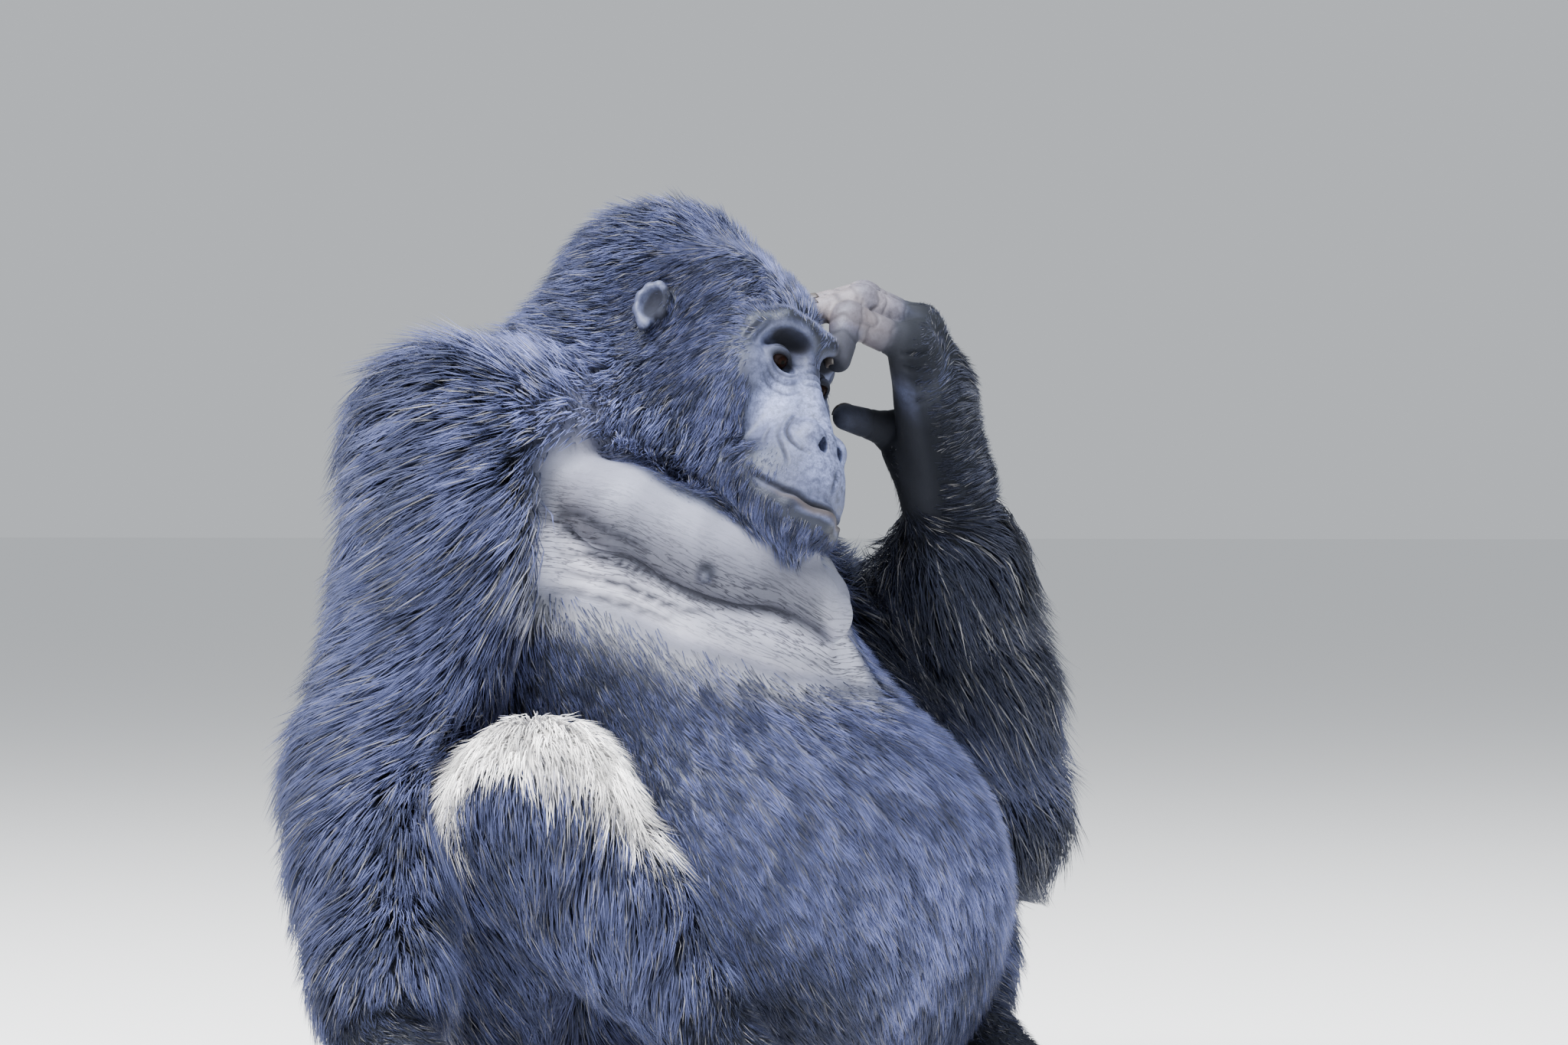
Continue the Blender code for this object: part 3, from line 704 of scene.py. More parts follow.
# %% The exact field at any points
NEAR = 0.03
STEP = 0.0005
TETRAHEDRON = np.array([[1, 1, 1], [1, -1, -1], [-1, 1, -1], [-1, -1, 1]], float)


def inside_box(points, box, margin):
    return np.all((points > box[0] - margin) & (points < box[1] + margin), axis=1)


def group_distance(blobs, points):
    reached = np.full(len(points), 1.0)
    for blob in blobs:
        near = inside_box(points, blob.reach(), NEAR)
        if near.any():
            reached[near] = joined(reached[near], blob.distance(points[near]), blob)
    return reached


def measure(points):
    """The signed distance to the skin."""
    total = np.full(len(points), 1.0)
    for blobs, blend in GROUPS.values():
        near = inside_box(points, whole_reach(blobs), NEAR)
        if near.any():
            total[near] = smooth_min(total[near], group_distance(blobs, points[near]), blend)
    return total


def measure_slope(points):
    """Distance and gradient together, from the corners of a small tetrahedron."""
    corners = [measure(points + way * STEP) for way in TETRAHEDRON]
    slope = sum(value[:, None] * way for value, way in zip(corners, TETRAHEDRON)) / (4 * STEP)
    return sum(corners) / 4, slope


def settle(points, rounds, limit):
    """Slide points onto the skin."""
    points = points.copy()
    for _ in range(rounds):
        value, slope = measure_slope(points)
        move = slope * (value / np.maximum((slope ** 2).sum(1), 0.05))[:, None]
        length = np.linalg.norm(move, axis=1, keepdims=True)
        points -= move * np.minimum(1.0, limit / np.maximum(length, 1e-9))
    return points


print("distance at the crown:", measure(on_head(-190, 0, 140)[None]).round(4))

# %% Curves on the skin
MOUTH_LINE = ((48, 57, -134), (59, 54, -140), (74, 47, -144.5), (91, 37, -147), (106, 24, -145),
              (115, 11, -141), (118, 0, -139.5))


def smooth_curve(points, steps):
    """A Catmull-Rom curve through the points."""
    points = np.asarray(points, float)
    padded = np.concatenate([2 * points[:1] - points[1:2], points, 2 * points[-1:] - points[-2:-1]])
    shares = np.linspace(0.0, 1.0, steps, endpoint=False)[:, None]
    pieces = []
    for a, b, c, d in zip(padded[:-3], padded[1:-2], padded[2:-1], padded[3:]):
        pieces.append(0.5 * (2 * b + (c - a) * shares + (2 * a - 5 * b + 4 * c - d) * shares ** 2
                             + (3 * b - a - 3 * c + d) * shares ** 3))
    return np.concatenate(pieces + [points[-1:]])


def mirrored(points):
    return tuple((forward, -left, up) for forward, left, up in points)


def head_curve(points):
    """A smooth curve through points in head millimetres, laid on the skin."""
    return settle(smooth_curve([on_head(*point) for point in points], 6), 8, 0.004)


def along_line(points, line):
    """The distance to a row of points joined by straight pieces, and the share of the row passed there."""
    best = np.full(len(points), 1.0)
    passed = np.zeros(len(points))
    near = np.flatnonzero(inside_box(points, (np.min(line, 0), np.max(line, 0)), NEAR))
    chosen = points[near]
    found = np.full(len(near), 1.0)
    share_there = np.zeros(len(near))
    for number, (a, b) in enumerate(zip(line[:-1], line[1:])):
        along = b - a
        share = np.clip((chosen - a) @ along / (along @ along), 0.0, 1.0)
        length = np.linalg.norm(chosen - a - share[:, None] * along, axis=1)
        closer = length < found
        found[closer] = length[closer]
        share_there[closer] = (number + share[closer]) / (len(line) - 1)
    best[near] = found
    passed[near] = share_there
    return best, passed


def away_from(points, line):
    return along_line(points, line)[0]


mouth_curve = head_curve(MOUTH_LINE + mirrored(MOUTH_LINE)[-2::-1])
print("mouth runs through", len(mouth_curve), "points")

# %% Regions and levels
LEFT_DIGITS = [name for name in DIGITS if name.startswith("left") and "toe" not in name]


def near_digits(points, names, extra):
    """Where points lie within the extra distance of a digit's skin."""
    return np.any([away_from(points, DIGITS[name][0]) < DIGITS[name][1][0] + extra for name in names], axis=0)


def wanted_level(points):
    """How often the rough skin is halved at each point."""
    forward, left, up = head_place(points).T
    side = np.abs(left)
    level = np.zeros(len(points), int)

    def within(middle, reach):
        """Where the head millimetres fall inside an egg, on either side."""
        offset = np.stack([forward, side, up], 1) - middle
        return np.linalg.norm(offset / reach, axis=1) < 1.0

    level[(forward > -75) & (side < 95) & (up > -215) & (up < 70)] = 1
    level[np.linalg.norm((points - at(0.0, -0.30, 0.58)) / [0.24, 0.17, 0.15], axis=1) < 1.0] = 1
    level[near_digits(points, DIGITS, 0.012)] = 1
    level[away_from(points, [joint("left_wrist"), left_fingers[2][0]]) < 0.055] = 1
    level[(forward > -45) & (side < 78) & (up > -190) & (up < 48)] = 2
    level[within((-139, 95, 9), (30, 26, 38))] = 2
    level[near_digits(points, LEFT_DIGITS, 0.010)] = 2
    level[within((4, EYE_SPACING / 2, 2), (26, 27, 22)) | within((74, 18, -82), (22, 21, 22))] = 3
    level[away_from(points, mouth_curve) < 0.006] = 3
    return level


print("finest near", len(LEFT_DIGITS), "digits, the eyes, the nose and the mouth")

# %% Subdivide and settle
LEVELS = 3


def read(items, label, width=3, kind=float):
    """One property of many mesh elements as an array."""
    values = np.empty(len(items) * width, kind)
    items.foreach_get(label, values)
    return values.reshape(-1, width)


def relaxed(points, ends, chosen, share):
    """Move the chosen points towards the middle of their neighbours."""
    total = np.zeros_like(points)
    count = np.zeros(len(points))
    for a, b in ((0, 1), (1, 0)):
        np.add.at(total, ends[:, a], points[ends[:, b]])
        np.add.at(count, ends[:, a], 1.0)
    middle = total / np.maximum(count, 1.0)[:, None]
    result = points.copy()
    result[chosen] += (middle[chosen] - points[chosen]) * share
    return result


def halve(mesh, level):
    """Subdivide the faces that want at least this level."""
    wanted = wanted_level(read(mesh.polygons, "center")) >= level
    edit = bmesh.new()
    edit.from_mesh(mesh)
    edit.faces.ensure_lookup_table()
    edges = set()
    for index in np.flatnonzero(wanted):
        edges.update(edit.faces[index].edges)
    bmesh.ops.subdivide_edges(edit, edges=list(edges), cuts=1, use_grid_fill=True)
    edit.to_mesh(mesh)
    edit.free()


skin_mesh = bpy.data.meshes.new("skin")
skin_mesh.from_pydata(rough_points.tolist(), [], rough_quads.tolist())
for level in range(1, LEVELS + 1):
    halve(skin_mesh, level)
    places = read(skin_mesh.vertices, "co")
    ends = read(skin_mesh.edges, "vertices", 2, np.int64)
    chosen = wanted_level(places) >= level
    for _ in range(2):
        places = relaxed(places, ends, chosen, 0.5)
        places[chosen] = settle(places[chosen], 2, CELL / 2 ** level)
    skin_mesh.vertices.foreach_set("co", places.ravel())
    skin_mesh.update()
    print("level", level, "points", len(places), clock())

# %% [markdown]
# ## Folds
# The field gives soft masses. Lines that the skin has from use, such as the mouth, the wing of the nose
# and the creases of the fingers, are pressed into it afterwards, as with a sculpting tool. Each line is
# laid on the skin, then points near it go in, and those a little farther off come out as a lip. Each line
# also gets painted shade, darkest along its middle.

# %% Lines of the folds
FACE_FOLDS = [
    # points in head millimetres, then width, depth and lip in millimetres
    (((43, 24, -60), (48, 32, -68), (52, 37, -79), (62, 38, -91), (73, 35, -97), (84, 28, -99)),
     2.0, 3.2, 0.6),
    (((44, 38, -76), (50, 45, -88), (60, 46, -98), (70, 44, -108), (77, 42, -118)), 1.7, 1.8, 0.5),
    (((36, 44, -80), (40, 50, -92), (48, 52, -104)), 1.6, 1.2, 0.4),
    (((26, 20, -18), (24, 34, -27), (12, 46, -26), (-2, 54, -16)), 1.6, 1.0, 0.3),
    (((32, 20, -26), (30, 34, -36), (18, 48, -36), (2, 58, -26)), 1.6, 0.7, 0.2),
    (((20, 20, -10), (19, 30, -18), (12, 40, -19), (4, 49, -13)), 1.5, 1.2, 0.5),
    (((12, 18, 3), (7, 26, 10), (4, 38, 12), (-2, 50, 8)), 1.6, 1.6, 0.6),
    (((22, -13, -4), (23, 0, -2), (22, 13, -4)), 1.5, 1.0, 0.4),
    (((24, -14, -12), (26, 0, -10), (24, 14, -12)), 1.5, 0.9, 0.4),
    (((28, -15, -20), (30, 0, -19), (28, 15, -20)), 1.5, 0.8, 0.4),
    (((18, -12, 6), (19, 0, 8), (18, 12, 6)), 1.5, 1.0, 0.4),
    (((-18, 62, 26), (-22, 68, 10), (-24, 70, -6)), 1.8, 1.0, 0.5),
    (((-10, 58, 26), (-14, 63, 12), (-16, 64, -4)), 1.8, 1.0, 0.5),
    (((80, 0, -99), (92, 0, -110), (102, 0, -123)), 2.2, 1.0, 0.4),
]
BREAST_LINE_UNDER = ((-0.240, 0.618, 0.15), (-0.205, 0.603, 0.18), (-0.165, 0.584, 0.21),
                     (-0.125, 0.562, 0.21), (-0.092, 0.541, 0.21), (-0.043, 0.5330, 0.20),
                     (-0.002, 0.527, 0.18), (0.028, 0.513, 0.14), (0.045, 0.497, 0.11))
VIEW_FOLDS = [
    # places across the view, height and towards the viewer; five of the breast, four of the raised palm
    (BREAST_LINE_UNDER, 7.0, 9.0, 1.5),
    (((-0.235, 0.588, 0.17), (-0.180, 0.574, 0.20), (-0.130, 0.552, 0.21)), 4.0, 3.0, 1.2),
    (((-0.235, 0.570, 0.17), (-0.170, 0.556, 0.20), (-0.115, 0.532, 0.20), (-0.070, 0.520, 0.20)),
     4.0, 2.6, 1.2),
    (((-0.235, 0.548, 0.17), (-0.170, 0.536, 0.20), (-0.110, 0.515, 0.20)), 4.0, 2.0, 1.0),
    (((-0.225, 0.640, 0.15), (-0.180, 0.622, 0.20), (-0.130, 0.590, 0.22)), 5.0, 2.4, 1.0),
    (((0.118, 0.790, 0.04), (0.145, 0.787, 0.05), (0.165, 0.790, 0.05)), 2.6, 2.2, 0.8),
    (((0.115, 0.768, 0.04), (0.150, 0.762, 0.05), (0.175, 0.766, 0.05)), 2.6, 1.8, 0.8),
    (((0.112, 0.748, 0.04), (0.150, 0.744, 0.05), (0.178, 0.746, 0.05)), 2.8, 2.0, 0.8),
    (((0.110, 0.722, 0.04), (0.145, 0.714, 0.05), (0.170, 0.720, 0.05)), 2.6, 1.6, 0.8),
]
MOUTH_FOLD = (2.2, 4.4, 1.1)
print("folds:", len(FACE_FOLDS) + len(VIEW_FOLDS) + 1)

# %% Press the folds in
JOINT_CREASES = (0.12, 0.30, 0.62)
TIP_CREASES = (0.16, 0.52)
CREASE_WIDTH = 0.0020
FINGER_CREASE = 0.0009
TOE_CREASE = 0.0006
ABOVE_GROUND = 0.0005

skin_points = read(skin_mesh.vertices, "co")
skin_normals = read(skin_mesh.vertices, "normal")
# Where painted shade goes into the folds.
crease_mask = np.zeros(len(skin_points))


def press(line, width, depth, lip):
    """Points near a line go in along their normals, and a lip on both sides comes out; the line is marked for
    painted shade.
    """
    away, passed = along_line(skin_points, line)
    close = away < 6.0 * width * MM
    taper = np.sqrt(np.clip(4.0 * passed[close] * (1.0 - passed[close]), 0.0, 1.0))
    reach = away[close] / (width * MM)
    shape = lip * np.exp(-((reach - 2.3) / 1.1) ** 2) - depth * np.exp(-reach ** 2)
    skin_points[close] += skin_normals[close] * (shape * taper * MM)[:, None]
    # Painted shade along the fold, darkest at its middle.
    fold_shade = np.exp(-(reach / 1.1) ** 2) * taper * min(1.0, 0.50 + 0.20 * depth)
    crease_mask[close] = np.maximum(crease_mask[close], fold_shade)


def ring(joints, radius, depth):
    """Creases round a digit, at shares of its first and last bone from the middle joint, each marked for
    painted shade.
    """
    knuckle, middle, tip = joints
    for end, marks in ((knuckle, JOINT_CREASES), (tip, TIP_CREASES)):
        along = end - middle
        length = np.linalg.norm(along)
        share = (skin_points - middle) @ along / length ** 2
        away = np.linalg.norm(skin_points - middle - np.clip(share, 0.0, 1.0)[:, None] * along, axis=1)
        close = (away < radius + 0.008) & (share > 0.0) & (share < 0.9)
        for mark in marks:
            near = skin_points[close]
            wave = 0.03 * np.sin(near @ VIEW_ACROSS * 260.0) + 0.02 * np.sin(near[:, 2] * 310.0)
            shape = np.exp(-(((share[close] - mark + wave) * length / CREASE_WIDTH) ** 2))
            skin_points[close] -= skin_normals[close] * (shape * depth)[:, None]
            # Painted shade in each ring crease.
            crease_mask[close] = np.maximum(crease_mask[close], 0.45 * shape)


for spots, width, depth, lip in FACE_FOLDS:
    crosses_middle = any(left < 0 for _, left, _ in spots)
    for side_spots in [spots] if crosses_middle else [spots, mirrored(spots)]:
        press(head_curve(side_spots), width, depth, lip)
for spots, width, depth, lip in VIEW_FOLDS:
    press(settle(smooth_curve(seen_all(*spots), 5), 10, 0.006), width, depth, lip)
press(mouth_curve, *MOUTH_FOLD)
for name, (joints, radii) in DIGITS.items():
    ring(joints, radii[0], TOE_CREASE if "toe" in name else FINGER_CREASE)
skin_points[:, 2] = np.maximum(skin_points[:, 2], ABOVE_GROUND)
skin_mesh.vertices.foreach_set("co", skin_points.ravel())
skin_mesh.update()
print("folds pressed", clock())

# %% [markdown]
# ## Where the body is bare, silver or furred
# Every point of the skin is given its coat depth, the lie of its hair and a few masks. Depth and lie
# come from the blobs, weighted so that the nearest count most. The masks are eggs laid over the body:
# inside them skin shows, or the hair is silver; others carry painted shade in hollows, creases and on
# the left arm, and painted sheen and light on the nose, neck and cheeks. Skin and coat read the same masks.

# %% Coat depth and lie of the hair
NEAREST = 0.014


def coat_at(points):
    """The coat's depth and direction at points on the skin, and the number of the nearest group."""
    nearest = np.full(len(points), 1.0)
    owner = np.zeros(len(points), int)
    distances = []
    for number, (blobs, _) in enumerate(GROUPS.values()):
        for blob in blobs:
            if blob.carve:
                continue
            near = np.flatnonzero(inside_box(points, blob.reach(), 0.06))
            if len(near) == 0:
                continue
            own = blob.distance(points[near])
            distances.append((blob, near, own))
            closer = own < nearest[near]
            owner[near[closer]] = number
            nearest[near] = np.minimum(nearest[near], own)
    weight = np.zeros(len(points))
    depth = np.zeros(len(points))
    flow = np.zeros((len(points), 3))
    for blob, near, own in distances:
        share = np.exp(-(own - nearest[near]) / NEAREST)
        weight[near] += share
        depth[near] += share * blob.depth(points[near])
        if blob.flow is not None:
            flow[near] += share[:, None] * blob.flow
    return depth / weight, flow / weight[:, None], owner


def ramp(value, low, high):
    """0 below low, 1 above high, smooth between."""
    share = np.clip((value - low) / (high - low), 0.0, 1.0)
    return share * share * (3.0 - 2.0 * share)


def covered(points, shapes, softness):
    """1 inside any of the shapes, falling to 0 over twice the softness at their edge."""
    distance = np.min([shape.distance(points) for shape in shapes], axis=0)
    return 1.0 - ramp(distance, -softness, softness)


def both_sides(centre, radii):
    return [head_egg((centre[0], centre[1] * s, centre[2]), radii) for s in SIDES]


def close_to(points, line, full, none):
    """1 within the full distance of a line, 0 beyond the other distance."""
    return 1.0 - ramp(away_from(points, line), full, none)


skin_normals = read(skin_mesh.vertices, "normal")
coat_depth, coat_flow, skin_owner = coat_at(skin_points)
print("coat from", coat_depth.min().round(4), "to", coat_depth.max().round(4), "m", clock())

# %% Bare skin
FACE_SHAPES = (
    both_sides((0, 34, 2), (0.042, 0.034, 0.036)) + both_sides((-2, 48, -22), (0.030, 0.026, 0.028))
    + [head_egg((40, 0, -60), (0.075, 0.068, 0.060)), head_egg((80, 0, -110), (0.070, 0.070, 0.050)),
       head_egg((108, 0, -156), (0.032, 0.036, 0.012))]
)
MUZZLE_SIDES = both_sides((52, 58, -122), (0.034, 0.024, 0.024))
EAR_SHAPES = both_sides((-141, 101, 7), (0.020, 0.014, 0.029))
BEARD_SHAPES = [head_limb((70, 0, -150), (64, 0, -198), (0.045, 0.030)),
                head_limb((-75, -60, -122), (62, -32, -160), (0.046, 0.040))]
BAND_LINE = seen_all((-0.225, 0.595, 0.15), (-0.100, 0.535, 0.17), (0.000, 0.505, 0.14), (0.060, 0.485, 0.07))
BAND_SHAPES = chain(BAND_LINE, (0.055, 0.052, 0.048, 0.045))
CHEST_SHAPES = (
    chain(BREAST_LINE, BREAST_RADII + 0.016) + BAND_SHAPES + chain(LEFT_BREAST_LINE, (0.030, 0.050, 0.050))
    + [Limb(seen(-0.222, 0.735, 0.10), seen(-0.205, 0.660, 0.14), (0.006, 0.036))]
)


def palm_way(fingers):
    """The direction that a half-closed hand's palm faces."""
    total = sum((knuckle - middle) + (tip - middle) for knuckle, middle, tip in fingers)
    return total / np.linalg.norm(total)


PALMS = (("right", right_fingers, palm_way(right_fingers)),
         ("left", left_fingers, unit(-VIEW_ACROSS - VIEW_TOWARDS * 0.1 - UP * 0.15)))


def height_of(line, places, up=1):
    """The height of a line at places along its first coordinate."""
    return np.interp(places, [spot[0] for spot in line], [spot[up] for spot in line])


def mouth_height(forward):
    return height_of(MOUTH_LINE, forward, 2)


def bare_face(points):
    """Skin down to the mouth and on the lips, with stubble at the sides of the muzzle."""
    forward, _, up = head_place(points).T
    lip = np.interp(forward, [30.0, 60.0, 130.0], [-6.0, 8.0, 15.0])
    face = covered(points, FACE_SHAPES, 0.007) * ramp(up - mouth_height(forward) + lip, -3.0, 3.0)
    off_lips = ramp(away_from(points, mouth_curve), 0.005, 0.010)
    face *= 1.0 - 0.45 * covered(points, MUZZLE_SIDES, 0.012) * off_lips
    return np.maximum(face, (1.0 - off_lips) * ramp(forward, 54.0, 72.0))


def bare_chest(points, normals):
    """The breast and the band under it, on the front and clear of the beard."""
    chest = covered(points, CHEST_SHAPES, 0.030) * ramp(-normals[:, 1], -0.95, -0.50)
    chest *= ramp(np.linalg.norm((points - on_head(-40, 0, -90)) / [0.16, 0.16, 0.13], axis=1), 0.90, 1.08)
    return np.clip(1.45 * chest, 0.0, 1.0) * (1.0 - covered(points, BEARD_SHAPES, 0.008))


def bare_limbs(points, normals):
    """Palms, digits and soles."""
    bare = np.zeros(len(points))
    for side, fingers, facing in PALMS:
        for finger in fingers:
            close = close_to(points, [joint(side + "_wrist"), finger[0]], 0.045, 0.060)
            bare = np.maximum(bare, close * ramp(normals @ facing, 0.05, 0.40))
    for name, (joints, radii) in DIGITS.items():
        reach = radii[0] + (0.001 if "toe" in name else -0.001)
        bare = np.maximum(bare, close_to(points, joints, reach, reach + 0.006))
    for side in ("right", "left"):
        away = np.linalg.norm(points[:, :2] - joint(side + "_ankle")[:2], axis=1)
        sole = (1.0 - ramp(away, 0.15, 0.17)) * (1.0 - ramp(points[:, 2], 0.018, 0.040))
        bare = np.maximum(bare, sole)
    return bare


print("palm of the right hand faces", PALMS[0][2].round(2))

# %% Silver hair, painted sheen, painted light and painted shade
FRINGE_LINE = seen_all((-0.225, 0.585, 0.15), (-0.100, 0.525, 0.17), (0.000, 0.495, 0.14),
                       (0.060, 0.475, 0.07))
FRINGE_SHAPES = chain(FRINGE_LINE, (0.075, 0.075, 0.070, 0.060))
SADDLE_SHAPES = [
    Egg(at(-0.050, 0.160, 0.310), (0.240, 0.150, 0.210), axes=TRUNK_AXES),
    Egg(at(-0.010, 0.140, 0.140), (0.240, 0.150, 0.160), axes=TRUNK_AXES),
    Egg(at(-0.200, 0.090, 0.150), (0.110, 0.080, 0.100)),
    Egg(at(0.220, 0.100, 0.140), (0.110, 0.080, 0.090)),
]
# Thin hair over paler skin on the front of the belly; the eggs at the neck and cheeks paint light onto hair
# and skin that lie in shade there.
THIN_HAIR_AND_PAINTED_LIGHT_SHAPES = [Egg(at(0.008, -0.250, 0.300), (0.300, 0.260, 0.260), axes=TRUNK_AXES),
               Egg(seen(-0.195, 0.740, 0.14), (0.070, 0.110, 0.080))]
THIN_HAIR_AND_PAINTED_LIGHT_SHAPES += both_sides((-62, 62, -72), (0.050, 0.040, 0.055))
# Painted sheen: the bridge and end of the nose, the cheeks beside it and the outer brow stay lighter, as if
# catching the sky.
PAINTED_SHEEN_SHAPES = (
    [head_limb((22, 0, -26), (62, 0, -74), (0.020, 0.034)), head_egg((78, 0, -104), (0.042, 0.036, 0.026))]
    + both_sides((22, 38, -48), (0.022, 0.020, 0.026)) + both_sides((-34, 64, 12), (0.012, 0.012, 0.022))
)
HALF_EYES = EYE_SPACING / 2
# Painted shade in hollows: above and below each eye, between the eye and the bridge, and in the nostrils.
HOLLOW_SHADE_SHAPES = (both_sides((3, HALF_EYES - 4, 19), (0.024, 0.024, 0.0135))
               + both_sides((4, HALF_EYES, -3), (0.014, 0.019, 0.012))
               + both_sides((66, 12, -85), (0.015, 0.0080, 0.011))
               + both_sides((9, 23, 8), (0.014, 0.009, 0.014)))
# Painted shade in the bowls of the ears.
EAR_BOWLS = (both_sides((-137, 96, 8), (0.0130, 0.0090, 0.0175))
             + both_sides((-127, 94, 10), (0.0080, 0.0120, 0.0220)))
# The fingers on the brow keep their own paler grey and stay out of the painted shade on the hand.
PALE_FINGERS = [Limb(between(knuckle, middle, 0.5), middle, (0.018, 0.020))
                for knuckle, middle, _ in left_fingers]
PALE_FINGERS += [Limb(middle, tip, (0.020, 0.020)) for _, middle, tip in left_fingers[:3]]
# Painted shade on the hanging tip of the little finger.
_, little_middle, little_tip = left_fingers[3]
PAINTED_SHADE_TIP = [Limb(between(little_middle, little_tip, 0.6), little_tip, (0.018, 0.020))]
# Painted shade: the left arm, its palm, thumb and knuckles are darkened as if in shadow.
SHADE_SHAPES = [
    Limb(joint("left_deltoid"), joint("left_elbow"), (0.12, 0.09)),
    Limb(between(joint("left_elbow"), joint("left_wrist"), 0.3), joint("left_wrist"), (0.07, 0.09)),
    Limb(joint("left_wrist"), left_fingers[1][0], (0.100, 0.066)),
    Limb(left_thumb[0], left_thumb[2], (0.030, 0.022)),
    Limb(left_fingers[0][0], left_fingers[3][0], (0.045, 0.045)),
    Limb(joint("left_wrist") - VIEW_ACROSS * 0.02, left_fingers[1][0] - VIEW_ACROSS * 0.03, (0.05, 0.04)),
]
# The feet and the right hand are darker in their own colour, through the same mask as the painted shade.
FOOT_SHAPES = []
for side in ("right", "left"):
    ankle, knee = joint(side + "_ankle"), joint(side + "_knee")
    FOOT_SHAPES.append(Limb(ankle, ankle + (ankle - knee) * [0.6, 0.6, 0.0], (0.09, 0.13)))
FOOT_SHAPES.append(Limb(joint("right_wrist"), right_fingers[1][2], (0.07, 0.09)))
KNEE_ARC = ((-0.385, -0.085, 0.385), (-0.375, -0.125, 0.395), (-0.352, -0.170, 0.392),
            (-0.330, -0.210, 0.355), (-0.305, -0.240, 0.310), (-0.275, -0.275, 0.250))
knee_curve = smooth_curve([at(*point) for point in KNEE_ARC], 4)
print("shapes of the markings:", len(SADDLE_SHAPES + THIN_HAIR_AND_PAINTED_LIGHT_SHAPES + PAINTED_SHEEN_SHAPES + HOLLOW_SHADE_SHAPES + SHADE_SHAPES))

# %% Masks on the skin
ROLL_LINE = ((-0.24, 0.635), (-0.16, 0.622), (-0.09, 0.587), (0.0, 0.546), (0.05, 0.515))


def pale_knee(points, bare):
    """Pale hair along an arc over the knee, fading where the arc ends."""
    away, passed = along_line(points, knee_curve)
    reach = np.interp(passed, [0.0, 0.4, 0.7, 1.0], [0.085, 0.080, 0.045, 0.030])
    return (1.0 - ramp(away / reach, 0.05, 1.45)) * (1.0 - bare) * (1.0 - ramp(passed, 0.70, 1.0))


def dark_places(points):
    """Painted shade in the sockets, nostrils, mouth line and ear bowls, and the nipple's own dark colour."""
    nipple = np.linalg.norm(points - NIPPLE - VIEW_TOWARDS * 0.012, axis=1)
    return np.max([covered(points, HOLLOW_SHADE_SHAPES, 0.006), 1.0 - ramp(nipple, 0.003, 0.015),
                   0.65 * close_to(points, mouth_curve, 0.003, 0.009),
                   0.92 * covered(points, EAR_BOWLS, 0.003)], axis=0)


def under_breast(points, sideways):
    """Painted shade on the lower half of the breast roll, darkest just above its fold."""
    roll = covered(points, chain(BREAST_LINE, BREAST_RADII + 0.030), 0.015)
    above = points[:, 2] - height_of(BREAST_LINE_UNDER, sideways)
    lower = ramp(above, -0.006, 0.000) * (1.0 - ramp(above, 0.004, 0.066)) ** 0.6
    return roll * lower * (1.0 - ramp(sideways, 0.03, 0.06))


def skin_masks(points, normals):
    """All masks that skin and coat share, and two distances that the chest's wrinkles follow."""
    forward, _, up = head_place(points).T
    chest = bare_chest(points, normals)
    ears = covered(points, EAR_SHAPES, 0.003)
    bare = np.max([bare_face(points), ears, chest, bare_limbs(points, normals)], axis=0)
    silver = covered(points, SADDLE_SHAPES, 0.07) * ramp(points[:, 2], 0.0, 0.02)
    silver = np.maximum(silver, 0.85 * covered(points, FRINGE_SHAPES, 0.035) * (1.0 - bare))
    rolls = covered(points, chain(BREAST_LINE, BREAST_RADII), 0.012)
    band = covered(points, BAND_SHAPES, 0.030) * (1.0 - rolls)
    # Thin hair on the belly's front, and painted light on the neck and cheeks.
    thin = covered(points, THIN_HAIR_AND_PAINTED_LIGHT_SHAPES, 0.06) * ramp(-normals[:, 1], -0.1, 0.3)
    fingers = covered(points, PALE_FINGERS, 0.004) * ramp(points[:, 2], 0.775, 0.795)
    # Painted shade on the left arm, hand and little fingertip; the feet and right hand are darker in their
    # own colour.
    shade = np.max([covered(points, SHADE_SHAPES, 0.02) * (1.0 - fingers),
                    0.80 * covered(points, PAINTED_SHADE_TIP, 0.005),
                    0.72 * covered(points, FOOT_SHAPES, 0.03)], axis=0)
    lips = close_to(points, mouth_curve, 0.006, 0.013) * ramp(forward, 66.0, 104.0)
    warm = np.maximum(lips * ramp(mouth_height(forward) - up, -4.0, 2.0),
                      0.55 * close_to(points, left_fingers[3], 0.017, 0.024))
    sideways = (points - VIEW_CENTRE) @ VIEW_ACROSS
    across = points[:, 2] - height_of(ROLL_LINE, sideways)
    return {"bare": bare, "chest": chest, "band": band, "under": under_breast(points, sideways),
            "silver": silver, "knee": pale_knee(points, bare), "thin": np.maximum(thin, band), "shade": shade,
            "pale": covered(points, PAINTED_SHEEN_SHAPES, 0.016), "dark": dark_places(points), "warm": warm,
            "finger": fingers, "crease": crease_mask, "run": sideways, "across": across,
            "crinkle": np.exp(-((across + 0.035) / 0.050) ** 2)}


masks = skin_masks(skin_points, skin_normals)
print("bare share", masks["bare"].mean().round(3), clock())


# %% [markdown]
# ## Tufts
# Particle hair would be simplest to comb, but it isn't geometry that another program can read. So each
# tuft is a small closed spike: three-sided, flattened along the skin, and bent once when it is long.
# Roots are scattered evenly over the skin. Tips are drawn towards the middle of their lock, and then
# lifted to the coat's own height with the body field, so that hair never dives into a limb.

# %% Scatter the roots
random = np.random.default_rng(7)

skin_mesh.calc_loop_triangles()
skin_triangles = read(skin_mesh.loop_triangles, "vertices", 3, np.int64)
triangle_spots = skin_points[skin_triangles]
first, second, third = triangle_spots.transpose(1, 0, 2)
triangle_areas = np.linalg.norm(np.cross(second - first, third - first), axis=1) / 2


